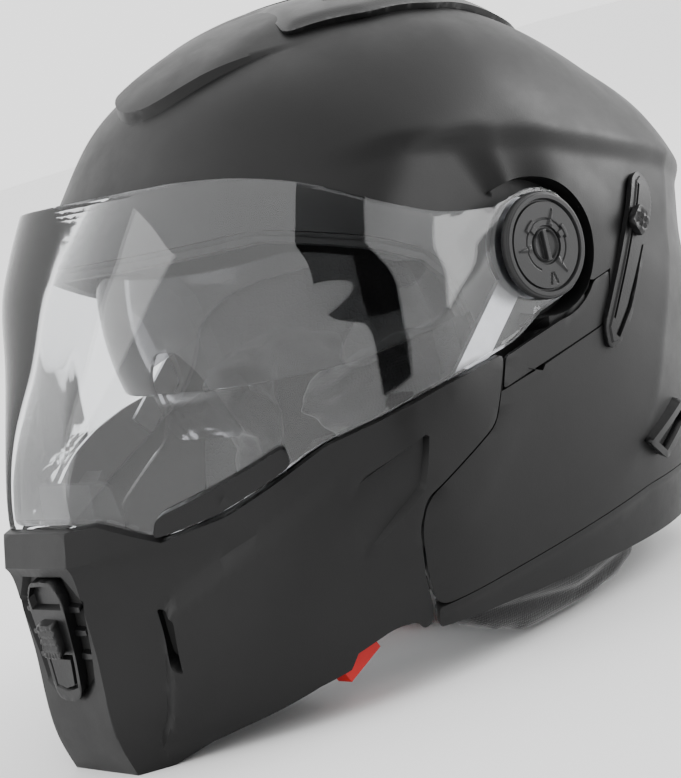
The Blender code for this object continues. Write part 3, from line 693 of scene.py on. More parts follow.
def clear(name, tint, edge_tint, blend, base_gloss):
    """Polished sheet: what is behind shows through with a tint, and its edges reflect more."""
    made = bpy.data.materials.new(name)
    made.use_nodes = True
    nodes, links = made.node_tree.nodes, made.node_tree.links
    nodes.remove(nodes["Principled BSDF"])
    output = nodes["Material Output"]
    through = nodes.new("ShaderNodeBsdfTransparent")
    weight = nodes.new("ShaderNodeLayerWeight")
    weight.inputs["Blend"].default_value = blend
    tints = nodes.new("ShaderNodeMix")
    tints.data_type = "RGBA"
    tints.inputs["A"].default_value = (*tint, 1)
    tints.inputs["B"].default_value = (*edge_tint, 1)
    links.new(weight.outputs["Facing"], tints.inputs["Factor"])
    links.new(tints.outputs["Result"], through.inputs["Color"])
    gloss = nodes.new("ShaderNodeBsdfGlossy")
    gloss.inputs["Color"].default_value = (1, 1, 1, 1)
    smear = noise(nodes, links, 30, 4)
    links.new(remapped(nodes, links, smear, CLEAR_HAZE * 0.6, CLEAR_HAZE * 1.8), gloss.inputs["Roughness"])
    share = remapped(nodes, links, weight.outputs["Fresnel"], base_gloss, 1.0, 0.0, 1.0)
    mixed = nodes.new("ShaderNodeMixShader")
    links.new(share, mixed.inputs["Fac"])
    links.new(through.outputs["BSDF"], mixed.inputs[1])
    links.new(gloss.outputs["BSDF"], mixed.inputs[2])
    links.new(mixed.outputs["Shader"], output.inputs["Surface"])
    return made


PAINT = moulded("matte_black_paint", (0.0030, 0.0030, 0.0031), (0.0042, 0.0042, 0.0043), 0.46, 1500, 0.3)
TRIM = moulded("black_moulded_plastic", (0.0030, 0.0030, 0.0032), (0.0045, 0.0045, 0.0047), 0.36, 1100, 0.5)
SATIN = moulded("black_satin_plastic", (0.0035, 0.0035, 0.0037), (0.0050, 0.0050, 0.0052), 0.20, 2400, 0.15)
DIAL = moulded("grey_satin_plastic", (0.012, 0.012, 0.0125), (0.016, 0.016, 0.0165), 0.34, 2000, 0.3)
DARK = moulded("deep_black_plastic", (0.004, 0.004, 0.004), (0.006, 0.006, 0.006), 0.7, 900, 0.4)
RUBBER = moulded("black_rubber", (0.004, 0.004, 0.004), (0.007, 0.007, 0.007), 0.60, 700, 0.6)
RED = moulded("red_moulded_plastic", (0.42, 0.004, 0.004), (0.52, 0.006, 0.006), 0.34, 1400, 0.2)
KNIT = knitted("black_knitted_mesh", (0.002, 0.002, 0.002), (0.008, 0.008, 0.0085), 900)
WEB = woven("black_webbing", (0.008, 0.008, 0.008), (0.022, 0.022, 0.023))
FOAM = beaded("black_expanded_foam", (0.010, 0.010, 0.010), (0.030, 0.030, 0.031))
STEEL = plated("zinc_plated_steel")
CLEAR = clear("clear_polycarbonate", (0.96, 0.965, 0.97), (0.80, 0.82, 0.84), 0.12, 0.035)
SMOKE = clear("light_smoke_polycarbonate", (0.55, 0.55, 0.56), (0.34, 0.34, 0.35), 0.12, 0.01)


# ---------------- shell
SHELL_OUTLINE = [*BROW, *SEAM, *TRIM_TOP[1:], (FAR, FAR), (-FAR, FAR)]
SIDE_COVER = [
    (-0.0345, -0.0385), *arc((0, 0), POCKET_RADIUS + 0.0024, -90, -40, 5), (0.0360, -0.0180),
    (0.0290, -0.0390), (-0.0395, -0.0520),
]
SHOULDER = [
    (-0.080, 0.060), (-0.0496, 0.0600), (-0.0035, 0.0520), (0.042, 0.0400), (0.0905, 0.0262), (0.130, 0.012),
]
REAR_CREASE = [(0.100, 0.020), (0.083, -0.020), (0.050, -0.080), (0.010, -0.120)]
LOW_CREASE = [(-0.070, -0.100), (-0.030, -0.060), (0.010, -0.028)]
CROWN_LIFT = 0.0038
BRIM_LIFT = 0.0034
HOLLOW_DEPTH = 0.0010
FOLD_LIFT = 0.0018
LOW_LIFT = 0.0008
SEAM_ROLL = 0.0008


POCKET_FRONT_Y = -0.026  # further forward, the pocket is open to the eye port


def crown_edge(x):
    """Angle of the front edge of the raised crown, which runs back from the middle."""
    return 137 - 14 * (x / 0.045) ** 2


def shell_relief(degrees, base):
    """The raised crown, the band over the shoulder, the creases, the rolled seam and the side recess."""
    x, y, z = base.T
    crown = 1 - smooth(degrees - crown_edge(x), -0.8, 0.8)
    crown = crown * smooth(degrees, 40, 125) * (1 - smooth(x, 0.030, 0.062))
    above = distance_to(SHOULDER, y, z)
    brim = np.exp(-np.maximum(above, 0) / 0.026) * (1 - smooth(-above, 0.0, 0.010))
    hollow = smooth(-above, 0.0, 0.022) * (1 - smooth(-above, 0.03, 0.060)) * smooth(y, -0.02, 0.04)
    shoulder = smooth(x, 0.050, 0.085) * smooth(y, -0.090, -0.030)
    shoulder = shoulder * (BRIM_LIFT * brim - HOLLOW_DEPTH * hollow)
    fold = np.exp(-np.abs(distance_to(REAR_CREASE, y, z)) / 0.010)
    fold = fold * smooth(x, 0.06, 0.09) * smooth(z, -0.115, -0.080)
    low = np.exp(-np.abs(distance_to(LOW_CREASE, y, z)) / 0.006)
    low = low * smooth(z, -0.110, -0.085) * (1 - smooth(z, -0.045, -0.035))
    rolled = np.exp(-np.abs(distance_to(SEAM, y, z)) / 0.004)
    lift = CROWN_LIFT * crown + shoulder + FOLD_LIFT * fold + LOW_LIFT * low - SEAM_ROLL * rolled
    near_pivot = np.hypot(y, z)
    recess = smooth(depth_in(SIDE_COVER, y, z), 0.0, 0.0003) * (near_pivot > body_rim(degrees))
    return lift * smooth(near_pivot, 0.034, 0.050) - COVER_RECESS * recess


def build_shell():
    outline = side_line(BODY, rounded(SHELL_OUTLINE, 0.006, near=0.2))
    pocket = []
    for extra in (0.0003, -0.0003):
        angles = np.linspace(0, 360, 181)[:-1]
        radii = body_rim(angles) + extra
        turns = [math.radians(a) for a in angles]
        ring = [(r * math.cos(t), r * math.sin(t)) for t, r in zip(turns, radii)]
        pocket.append([p for p in ring if p[0] >= POCKET_FRONT_Y])
    lines = []
    for ring in pocket:
        runs, run = [], []
        for p, q in zip(ring, ring[1:] + ring[:1]):
            run.append(p)
            if math.dist(p, q) > 0.004:
                runs.append(run)
                run = []
        if run:
            runs = [run + runs[0]] + runs[1:] if runs else [run]
        lines.extend(side_line(BODY, r, closed=False) for r in runs if len(r) > 2)
    for extra in (0.0, 0.0003):
        line = inset(SIDE_COVER, extra)
        lines.append(side_line(BODY, [*line[-1:], *line[:1]], closed=False))
        lines.append(side_line(BODY, line[6:], closed=False))
    crown = []
    for extra in (-0.8, 0.8):
        x = np.linspace(0.0002, 0.0560, 40)
        degrees = crown_edge(x) + extra
        share = np.maximum(0, 1 - (x / HALF_WIDTH) ** BODY_POWER) ** (1 / BODY_POWER)
        way = np.arcsin(share) * 2 / np.pi
        crown.append(BODY.place(degrees, way))
    panel(
        "shell", BODY, [outline], 0.0, -SHELL_WALL, PAINT, "helmet_shell", creases=[*lines, *crown],
        relief=shell_relief, replaces=["outer_shell"], bevel=0.0008,
    )


# ---------------- chin bar
STEP_LINE = [
    (-0.1180, -0.0680), (-0.1500, -0.0850), (-0.1705, -0.0985), (-0.1745, -0.1040), (-0.1800, -0.1480),
]
TRAPEZOID = [(-0.0780, -0.0580), (-0.0835, -0.0800), (-0.1095, -0.1030), (-0.1165, -0.0735)]
CHIN_CREASE = [(-0.0870, -0.1040), (-0.1500, -0.1390), (-0.1850, -0.1600)]
VENT_RECESS = [
    (0.0, -0.0815), (0.0150, -0.0812), (0.0245, -0.0925), (0.0180, -0.1270), (0.0115, -0.1320),
    (0.0, -0.1335),
]
WHOLE_RECESS = [*VENT_RECESS, *[(-x, z) for x, z in reversed(VENT_RECESS[1:-1])]]
TAB_NOTCH = [
    (-0.0900, -0.1385), (-0.0925, -0.1345), (-0.1010, -0.1345), (-0.1160, -0.1395), (-0.1190, -0.1455),
]
RIDGE_Z = -0.0765
STEP_LIFT = 0.0046
TRAPEZOID_DEPTH = 0.0030
CHAMFER_DEPTH = 0.0020
RIDGE_LIFT = 0.0030
SCOOP_DEPTH = 0.0022
RECESS_DEPTH = 0.0030
LIP_DEPTH = 0.0007


def chin_relief(_, base):
    """The step, the sunk trapezoid, the chamfer, the ridge, the scoops, the vent's recess and the lip."""
    x, y, z = base.T
    step = smooth(distance_to(STEP_LINE, y, z), 0.0, 0.0030)
    rise = STEP_LIFT * step * (1 - smooth(y, -0.150, -0.098)) * smooth(z, -0.168, -0.150)
    dent = -TRAPEZOID_DEPTH * smooth(depth_in(TRAPEZOID, y, z), 0.0, 0.0016) * smooth(y, -0.116, -0.092)
    chamfer = -CHAMFER_DEPTH * smooth(distance_to(CHIN_CREASE, y, z), 0.0, 0.022) * smooth(y, -0.178, -0.150)
    roof = np.where(z > RIDGE_Z, np.exp(-(z - RIDGE_Z) / 0.012), np.exp(-(RIDGE_Z - z) / 0.004))
    ridge = RIDGE_LIFT * roof * (1 - smooth(x, 0.030, 0.060))
    scoop = -SCOOP_DEPTH * np.exp(-(((x - 0.052) / 0.016) ** 2) - ((z + 0.086) / 0.009) ** 2)
    recess = -RECESS_DEPTH * smooth(depth_in(WHOLE_RECESS, x, z), 0.0, 0.0012)
    seam = [(a, b - SEAM_GAP) for a, b in VISOR_BOTTOM]
    lip = -LIP_DEPTH * np.exp(-np.abs(distance_to(seam, y, z)) / 0.003)
    return rise + dent + chamfer + ridge + scoop + recess + lip


def chin_outline():
    top = [(y, z - SEAM_GAP) for y, z in VISOR_BOTTOM[:-1]]
    seam = shifted(SEAM[1:], -SEAM_GAP)
    flat = [(y, floor_z(y)) for y in (FACET_START_Y, -FAR)]
    return [*top[:-1], (-0.0345, -0.0372), *seam, CHIN_BOTTOM[0], *TAB_NOTCH, *CHIN_BOTTOM[1:], *flat]


def floor_z(y):
    return (-PIVOT.z + y * math.sin(LEAN)) / math.cos(LEAN)


SIDE_VENT = [(0.0440, -0.1015), (0.0492, -0.1050), (0.0485, -0.1275), (0.0452, -0.1235)]


def build_chin():
    outline = side_line(CHIN, rounded(chin_outline(), 0.004, near=0.17))
    hole = front_line(CHIN, rounded(SIDE_VENT, 0.0018), 0.0008)
    slope = 0.0016
    foot = [(max(x - slope, 0.0) if x else 0.0, z + (slope if z < -0.12 else -slope)) for x, z in VENT_RECESS]
    creases = [
        front_line(CHIN, VENT_RECESS, 0.0012, closed=False),
        front_line(CHIN, foot, 0.0012, closed=False),
        side_line(CHIN, STEP_LINE, closed=False),
        side_line(CHIN, shifted(STEP_LINE, 0.0034), closed=False),
        front_line(CHIN, [(0.0, RIDGE_Z), (0.040, RIDGE_Z)], 0.0015, closed=False),
        side_line(CHIN, [*TRAPEZOID, TRAPEZOID[0]], closed=False),
        side_line(CHIN, [*inset(TRAPEZOID, 0.0016), inset(TRAPEZOID, 0.0016)[0]], closed=False),
        side_line(CHIN, CHIN_CREASE[:2], closed=False),
    ]
    panel(
        "chin_shell", CHIN, [outline, hole], 0.0, -CHIN_WALL, PAINT, "chin_bar", spacing=0.010,
        creases=creases, relief=chin_relief, replaces=["chin_bar"], bevel=0.0008,
    )
    panel(
        "side_vent_grille", CHIN, [front_line(CHIN, rounded(inset(SIDE_VENT, -0.0006), 0.0018), 0.001)],
        -0.0046, -0.0060, DARK, "chin_bar", spacing=0.008, joined=False, bevel=0.0,
        replaces=["chin_side_vent_{side}"],
    )


# ---------------- visor
def build_visor():
    ear = arc((0, 0), EAR_RADIUS, -60, 100, 16)
    outline = side_line(VISOR, [*ear, *rounded(VISOR_TOP, 0.02, 6, closed=False),
                                *rounded(VISOR_BOTTOM, 0.008, 5, closed=False)])
    bore = side_line(VISOR, circle(BORE_RADIUS, 60), 0.0015)
    panel(
        "visor_lens", VISOR, [outline, bore], 0.0, -VISOR_WALL, CLEAR, "visor", spacing=0.011,
        replaces=["visor"], bevel=0.0005,
    )
    nose = [(0.0, -0.0090), (0.0080, -0.0090), (0.0200, -0.0200), (0.0260, -0.0500), (0.0, -0.0500)]
    hub = arc((0, 0), 0.0140, -70, 70, 6)
    sheet = [
        *hub, (-0.0100, 0.0140), (-0.0800, 0.0320), (-FAR, 0.0480), (-FAR, -0.0340), (-0.0800, -0.0270),
        (-0.0450, -0.0220), (-0.0100, -0.0140),
    ]
    body = side_line(SUN, rounded(sheet, 0.012, 5, near=0.2))
    notch = front_line(SUN, rounded(nose, 0.006, 5, closed=False), 0.0015)
    panel(
        "sun_lens", SUN, [body, notch], 0.0, -SUN_WALL, SMOKE, "sun_visor", spacing=0.016,
        replaces=["sun_visor"], bevel=0.0005,
    )


# ---------------- trims, vents and controls
LINE_STEP = 0.0012
SLIDER_WAY = np.array((0.624, 0.776))  # in (y, z): its ribs follow each other this way
REAR_VENT = [(0.0380, -0.0940), (0.0680, -0.0820), (0.0720, -0.0920), (0.0500, -0.1040)]
SUN_TRACK = [
    (0.0760, 0.0120), (0.0700, 0.0180), (0.0640, 0.0160), (0.0230, -0.0400), (0.0230, -0.0500),
    (0.0300, -0.0500), (0.0420, -0.0400), (0.0740, 0.0020),
]
SUN_LEVER = [(0.0635, -0.0030), (0.0585, 0.0050), (0.0500, -0.0010), (0.0550, -0.0090)]
TRACK_SLOT = [(0.0600, -0.0130), (0.0415, -0.0360), (0.0300, -0.0465), (0.0280, -0.0445), (0.0385, -0.0350),
              (0.0575, -0.0125)]
TRACK_SLIT = [(0.0665, 0.0120), (0.0655, 0.0130), (0.0285, -0.0375), (0.0295, -0.0383)]
VISOR_TAB = [
    (-0.1690, -0.0725), (-0.1500, -0.0685), (-0.1250, -0.0560), (-0.1260, -0.0480), (-0.1500, -0.0585),
    (-0.1670, -0.0645),
]
TAB_GRIP = [(-0.1600, -0.0680), (-0.1480, -0.0655), (-0.1330, -0.0575), (-0.1480, -0.0610)]
TOP_VENT = [(0.0, -0.0200), (0.0500, -0.0480), (0.0660, -0.0150), (0.0680, 0.0200), (0.0520, 0.0750),
            (0.0200, 0.1180), (0.0, 0.1180)]
TOP_PLATE = [
    (0.0, -0.0030), (0.0420, -0.0170), (0.0540, 0.0000), (0.0500, 0.0400), (0.0250, 0.0840), (0.0, 0.0880),
]
TOP_SLIDER = [(0.0, 0.0500), (0.0100, 0.0500), (0.0080, 0.0720), (0.0, 0.0720)]
VENT_FRAME = [(0.0, -0.0822), (0.0085, -0.0828), (0.0132, -0.0905), (0.0100, -0.1290), (0.0070, -0.1325),
              (0.0, -0.1330)]
VENT_TEETH = [
    [(0.0120, level - 0.0014), (0.0120, level + 0.0014), (0.0205, level + 0.0010), (0.0205, level - 0.0010)]
    for level in (-0.0960, -0.1060, -0.1160)
]
VENT_WINDOW = [(0.0, -0.0840), (0.0080, -0.0845), (0.0115, -0.0890), (0.0110, -0.0940), (0.0, -0.0940)]
VENT_PLATE = [(0.0, -0.1130), (0.0095, -0.1130), (0.0080, -0.1270), (0.0, -0.1290)]
VENT_SLIDER = [(0.0, -0.0980), (0.0060, -0.0980), (0.0060, -0.1120), (0.0, -0.1120)]
DEFLECTOR = [(0.0, -0.0540), (0.0300, -0.0540), (0.0340, -0.0780), (0.0, -0.0780)]


def placed(layer, kind, line):
    """An open line in the layer's flat domain: kind is side for (y, z), front for (x, z), top for (x, y)."""
    if kind == "side":
        return side_line(layer, line, LINE_STEP, closed=False)
    return front_line(layer, line, LINE_STEP, closed=False, upright=kind == "top")


def whole(kind, outline):
    """A middle piece's half outline, mirrored; a side outline as it is."""
    if kind == "side":
        return outline
    return [*outline, *[(-a, b) for a, b in reversed(outline) if abs(a) > 1e-9]]


def stepped(layer, kind, items):
    """Creases and relief for sunk or raised areas, each (outline, height, width of its slope)."""
    creases = []
    for outline, _, width in items:
        full = whole(kind, outline)
        inner = inset(full, width)
        for line in (outline, inner[:len(outline)]):
            if kind == "side":
                line = [*line, line[0]]
            else:
                line = [(max(a, 0.0), b) for a, b in line]
            creases.append(placed(layer, kind, line))

    def relief(_, base):
        a = base[:, 1] if kind == "side" else base[:, 0]
        b = base[:, 1] if kind == "top" else base[:, 2]
        return sum(height * smooth(depth_in(whole(kind, o), a, b), 0.0, width) for o, height, width in items)

    return creases, relief


def outlined(layer, kind, outline, radius=0.0015):
    """A closed outline in the flat domain, with its corners rounded."""
    if kind == "side":
        return side_line(layer, rounded(outline, radius), LINE_STEP)
    return front_line(layer, rounded(outline, radius, closed=False), LINE_STEP, upright=kind == "top")


def inset_half(kind, outline, distance):
    moved = inset(whole(kind, outline), distance)[:len(outline)]
    return [(max(a, 0.0), b) for a, b in moved]


def build_trims():
    gasket = [*shifted(BROW, -GAP), *reversed(shifted(BROW, -0.0050))]
    groove = shifted(BROW, -0.0021)
    panel(
        "eye_port_seal", BODY, [side_line(BODY, gasket, 0.0015)], 0.0003, -0.0060, RUBBER, "helmet_shell",
        creases=[side_line(BODY, shifted(BROW, d), closed=False) for d in (-0.0016, -0.0021, -0.0026)],
        relief=lambda degrees, base: -0.0009 * np.exp(
            -(distance_to(groove, base[:, 1], base[:, 2]) / 0.0006) ** 2
        ),
        replaces=["eye_port_gasket"], bevel=0.0006,
    )
    top = shifted(TRIM_TOP, -GAP)
    trim = [*top, (FAR, TRIM_BOTTOM_Z), (TRIM_TOP[0][0], TRIM_BOTTOM_Z)]
    panel(
        "rear_trim", CHIN, [side_line(CHIN, rounded(trim, 0.002, near=0.2), 0.0018)], 0.0, -SHELL_WALL, PAINT,
        "helmet_shell",
        creases=[side_line(CHIN, shifted(TRIM_TOP, d), closed=False) for d in (-0.0030, -0.0050)],
        relief=lambda degrees, base: -0.0010 * smooth(
            -distance_to(TRIM_TOP, base[:, 1], base[:, 2]), 0.0030, 0.0050
        ),
        replaces=["lower_rear_trim"], bevel=0.0007,
    )
    panel(
        "side_panel", CHIN, [outlined(CHIN, "side", inset(SIDE_COVER, 0.0006), 0.002)], -0.0002, -0.0020,
        PAINT, "helmet_shell", joined=False, replaces=["side_cover_{side}"], bevel=0.0005,
    )
    creases, relief = stepped(CHIN, "side", [(inset(REAR_VENT, 0.0030), -0.0032, 0.0005)])
    panel(
        "rear_outlet", CHIN, [outlined(CHIN, "side", REAR_VENT)], 0.0046, 0.0002, SATIN, "helmet_shell",
        spacing=0.008, creases=creases, relief=relief, joined=False, replaces=["rear_vent_{side}"],
        bevel=0.0008,
    )


def build_controls():
    creases, relief = stepped(CHIN, "side", [(TRACK_SLOT, -0.0016, 0.0003), (TRACK_SLIT, -0.0012, 0.0002)])
    raised, lift = stepped(CHIN, "side", [(inset(SUN_TRACK, 0.0022), 0.0007, 0.0005)])
    panel(
        "sun_slider_frame", CHIN, [outlined(CHIN, "side", SUN_TRACK, 0.004)], 0.0020, -0.0002, TRIM,
        "helmet_shell", spacing=0.009, creases=[*creases, *raised],
        relief=lambda degrees, base: relief(degrees, base) + lift(degrees, base),
        sides=(1,), joined=False, replaces=["sun_slider_track"], bevel=0.0006,
    )
    panel(
        "sun_slider_knob", CHIN, [outlined(CHIN, "side", SUN_LEVER, 0.002)], 0.0056, 0.0026, TRIM,
        "sun_lever", spacing=0.006,
        relief=lambda degrees, base: 0.0007 * np.cos(
            (base[:, 1:] @ SLIDER_WAY) * 2 * np.pi / 0.0030
        ) * smooth(depth_in(SUN_LEVER, base[:, 1], base[:, 2]), 0.0004, 0.0016),
        sides=(1,), joined=False, replaces=["sun_lever"], bevel=0.0007,
    )
    creases, relief = stepped(VISOR, "side", [(TAB_GRIP, -0.0024, 0.0030)])
    panel(
        "visor_lift_tab", VISOR, [outlined(VISOR, "side", VISOR_TAB, 0.003)], 0.0042, 0.0002, TRIM, "visor",
        spacing=0.008, creases=creases[:1], relief=relief, sides=(1,), joined=False, replaces=["visor_tab"],
        bevel=0.0010, segments=3,
    )
    creases, relief = stepped(
        CHIN, "top", [(TOP_PLATE, -0.0016, 0.0010), (inset_half("top", TOP_PLATE, 0.0016), 0.0024, 0.0012)]
    )
    panel(
        "top_vent", CHIN, [outlined(CHIN, "top", TOP_VENT, 0.006)], 0.0030, 0.0002, TRIM, "helmet_shell",
        spacing=0.012, creases=creases,
        relief=lambda degrees, base: relief(degrees, base) + 0.0014 * smooth(
            depth_in(whole("top", TOP_VENT), base[:, 0], base[:, 1]), 0.0, 0.008
        ),
        replaces=["top_vent_housing"], bevel=0.0010, segments=3,
    )
    panel(
        "top_vent_knob", CHIN, [outlined(CHIN, "top", TOP_SLIDER, 0.002)], 0.0096, 0.0048, TRIM,
        "top_vent_slider", spacing=0.008,
        relief=lambda degrees, base: 0.0005 * np.cos(base[:, 1] * 2 * np.pi / 0.0040),
        replaces=["top_vent_slider"], bevel=0.0009,
    )
    creases, relief = stepped(CHIN, "front", [
        (VENT_WINDOW, -0.0030, 0.0005), (VENT_PLATE, -0.0020, 0.0005),
        (inset_half("front", VENT_PLATE, 0.0014), 0.0024, 0.0005),
    ])
    panel(
        "chin_vent", CHIN, [outlined(CHIN, "front", VENT_FRAME, 0.003)], 0.0030, -0.0022, TRIM, "chin_bar",
        spacing=0.007, creases=creases, relief=relief, replaces=["chin_vent_housing"],
        bevel=0.0008,
    )
    panel(
        "chin_vent_grille", CHIN, [outlined(CHIN, "front", inset_half("front", VENT_RECESS, 0.0008), 0.002)],
        -0.0027, -0.0034, DARK, "chin_bar", spacing=0.010, bevel=0.0,
    )
    for number, tooth in enumerate(VENT_TEETH):
        panel(
            f"chin_vent_tooth_{number}", CHIN, [front_line(CHIN, rounded(tooth, 0.0008), 0.0008)], -0.0002,
            -0.0030, TRIM, "chin_bar", spacing=0.005, joined=False, bevel=0.0004,
        )
    panel(
        "chin_vent_knob", CHIN, [outlined(CHIN, "front", VENT_SLIDER, 0.0015)], 0.0072, 0.0028, TRIM,
        "chin_vent_slider", spacing=0.006,
        relief=lambda degrees, base: 0.0004 * np.cos(base[:, 2] * 2 * np.pi / 0.0030),
        replaces=["chin_vent_slider"], bevel=0.0008,
    )
    panel(
        "breath_guard", CHIN, [outlined(CHIN, "front", DEFLECTOR, 0.006)], -0.0192, -0.0212, RUBBER,
        "chin_bar", spacing=0.010, replaces=["breath_deflector"], bevel=0.0007,
    )


# ---------------- pivot dials
DIAL_START = VISOR_HALF_WIDTH + 2 * GAP
DIAL_STAR_TURNS = (62, 178, 302)
DIAL_KEY_TURNS = (128, 18)


def dial_height(radius, turn):
    """Height of the dial's face above its back, for a radius in millimetres and a turn in degrees."""
    def ring(inner, outer, ease=0.25):
        return smooth(radius, inner - ease, inner) * (1 - smooth(radius, outer, outer + ease))

    def turned(centre):
        return (turn - centre + 180) % 360 - 180

    height = np.full_like(radius, 2.9)
    height = height - 1.1 * ring(18.3, 18.9) + 0.5 * ring(19.4, 21.2)
    height = height - 0.5 * ring(10.7, 11.1, 0.2) * (np.abs(turned(90)) < 150)
    for centre in DIAL_STAR_TURNS:
        side = np.abs(np.radians(turned(centre)) * radius)
        along = smooth(radius, 8.0, 9.0) * (1 - smooth(radius, 15.5, 16.5))
        half = 1.9 * (1 - np.clip((radius - 8.5) / 8.0, 0, 1)) + 0.05
        height = height + 0.8 * along * (1 - smooth(side, half * 0.2, half))
    for centre in DIAL_KEY_TURNS:
        side = np.abs(np.radians(turned(centre)) * radius)
        bar = ring(8.0, 12.2) * (1 - smooth(side, 1.3, 1.6))
        cross = ring(11.2, 12.6) * (1 - smooth(side, 2.8, 3.1))
        height = height + 0.9 * np.maximum(bar, cross)
    side = np.radians(turned(270)) * radius
    for lean in (-1, 1):
        mark = np.abs(side - lean * (radius - 11.5) * 0.30 - lean * 0.4)
        height = height - 0.6 * (1 - smooth(mark, 0.35, 0.6)) * ring(11.8, 16.5)
    height = height - 0.9 * ring(7.2, 7.9, 0.2)
    y = radius * np.cos(np.radians(turn))
    bowl = (1 - smooth(radius, 5.6, 6.6)) * smooth(np.abs(y), 0.8, 1.5)
    height = height + 0.7 * (1 - smooth(radius, 6.4, 7.0)) - 2.1 * bowl * (1 - 0.35 * np.abs(y) / 6)
    return np.minimum(height, 4.0) - 1.0 * smooth(radius, 21.6, 22.5) ** 2


def build_dials():
    rings, columns = 110, 288
    radii = DIAL_RADIUS * 1000 * np.arange(1, rings + 1) / rings
    turns = np.arange(columns) * 360 / columns
    grid_r, grid_t = np.meshgrid(radii, turns, indexing="ij")
    heights = dial_height(grid_r, grid_t) / 1000
    for side, name in ((1, "left"), (-1, "right")):
        points = [(side * (DIAL_START + dial_height(np.array(0.0), np.array(0.0)) / 1000), 0.0, 0.0)]
        for r, t, h in zip(grid_r.ravel() / 1000, np.radians(grid_t.ravel()), heights.ravel()):
            points.append((side * (DIAL_START + h), r * math.cos(t), r * math.sin(t)))
        back = len(points)
        for t in np.radians(turns):
            points.append((side * DIAL_START, DIAL_RADIUS * math.cos(t), DIAL_RADIUS * math.sin(t)))
        faces = []
        for c in range(columns):
            d = (c + 1) % columns
            faces.append((0, 1 + c, 1 + d))
            for r in range(rings - 1):
                a, b = 1 + r * columns, 1 + (r + 1) * columns
                faces.append((a + c, b + c, b + d, a + d))
            last = 1 + (rings - 1) * columns
            faces.append((last + c, back + c, back + d, last + d))
        faces.append(tuple(range(back + columns - 1, back - 1, -1)))
        if side < 0:
            faces = [f[::-1] for f in faces]
        add_mesh(
            f"dial_{name}", points, faces, DIAL, f"pivot_dial_{name}", [f"pivot_dial_{name}"],
            sharp=50,
        )


# ---------------- padding and webbing
CHEEK_SEAMS = [
    [(-0.0640, -0.0480), (-0.0460, -0.0330), (0.0000, -0.0270), (0.0270, -0.0370), (0.0270, -0.1020),
     (-0.0520, -0.1070), (-0.0640, -0.0960), (-0.0640, -0.0480)],
    [(-0.0640, -0.0700), (0.0270, -0.0640)],
]
CROWN_SEAMS = [
    [(-0.2, 0.0300), (0.2, 0.0300)], *[[(x, -0.2), (x, 0.2)] for x in (-0.0560, -0.0200, 0.0200, 0.0560)],
]
PAD_SHRINK = 0.0020
PAD_VOXEL = 0.0050
PAD_SWELL = 0.0050
SEAM_WIDTH = 0.0028
SEAM_DEPTH = 0.0022


def evaluated_mesh(obj):
    graph = bpy.context.evaluated_depsgraph_get()
    return bpy.data.meshes.new_from_object(obj.evaluated_get(graph), depsgraph=graph)


def applied(obj):
    """The object with its modifiers applied."""
    mesh = evaluated_mesh(obj)
    obj.modifiers.clear()
    obj.data = mesh
    return obj


def coordinates(mesh):
    co = np.empty(len(mesh.vertices) * 3)
    mesh.vertices.foreach_get("co", co)
    return co.reshape(-1, 3)


def cushion(name, node, body, fabric, seams=(), plan="YZ"):
    """A pad grown from the CAD solid: shrunk, blown up as cloth, and sewn along its seams."""
    made = bpy.data.objects.new(name, bpy.data.objects[node].data.copy())
    bpy.context.scene.collection.objects.link(made)
    for vertex, normal in zip(made.data.vertices, [v.normal.copy() for v in made.data.vertices]):
        vertex.co -= normal * PAD_SHRINK
    remesh = made.modifiers.new("Remesh", "REMESH")
    remesh.mode = "VOXEL"
    remesh.voxel_size = PAD_VOXEL
    applied(made)
    start = coordinates(made.data)
    cloth = made.modifiers.new("Cloth", "CLOTH")
    cloth.settings.use_pressure = True
    cloth.settings.uniform_pressure_force = 4
    cloth.settings.effector_weights.gravity = 0
    for number in range(1, 21):
        bpy.context.scene.frame_set(number)
    swollen = coordinates(evaluated_mesh(made))
    made.modifiers.clear()
    bpy.context.scene.frame_set(1)
    move = swollen - start
    length = np.maximum(np.linalg.norm(move, axis=1, keepdims=True), 1e-9)
    made.data.vertices.foreach_set("co", (start + move * np.minimum(1, PAD_SWELL / length)).ravel())
    made.modifiers.new("Subdivision", "SUBSURF").levels = 1
    applied(made)
    local = coordinates(made.data)
    world_to_local = np.array(TO_WORLD.inverted())
    local = local @ world_to_local[:3, :3].T + world_to_local[:3, 3]
    columns = {"YZ": (1, 2), "XY": (0, 1), "XZ": (0, 2)}[plan]
    sunk = np.zeros(len(local))
    for seam in seams:
        away = distance_to(seam, local[:, columns[0]], local[:, columns[1]])
        sunk = np.maximum(sunk, np.exp(-((away / SEAM_WIDTH) ** 2)))
    for vertex, normal, share in zip(made.data.vertices, [v.normal.copy() for v in made.data.vertices], sunk):
        vertex.co -= normal * float(share) * SEAM_DEPTH
    made.data.materials.clear()
    made.data.materials.append(fabric)
    made.data.shade_smooth()
    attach(made, body)
    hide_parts(node)
    return made


def build_padding():
    cushion("crown_padding", "crown_pad", "helmet_shell", KNIT, CROWN_SEAMS, "XY")
    for name in ("left", "right"):
        cushion(f"cheek_padding_{name}", f"cheek_pad_{name}", "helmet_shell", KNIT, CHEEK_SEAMS)
    roll_seam = [[(-0.1, -0.1330), (-0.0550, -0.1420), (0.0, -0.1500), (0.0500, -0.1410), (0.1500, -0.1300)]]
    cushion("neck_collar", "neck_roll", "helmet_shell", KNIT, roll_seam)


STRAP = [(0.0765, -0.1190), (0.0700, -0.1270), (0.0560, -0.1340), (0.0400, -0.1380), (0.0225, -0.1395)]
STRAP_Y = (-0.0420, -0.0200)
STRAP_WALL = 0.0015


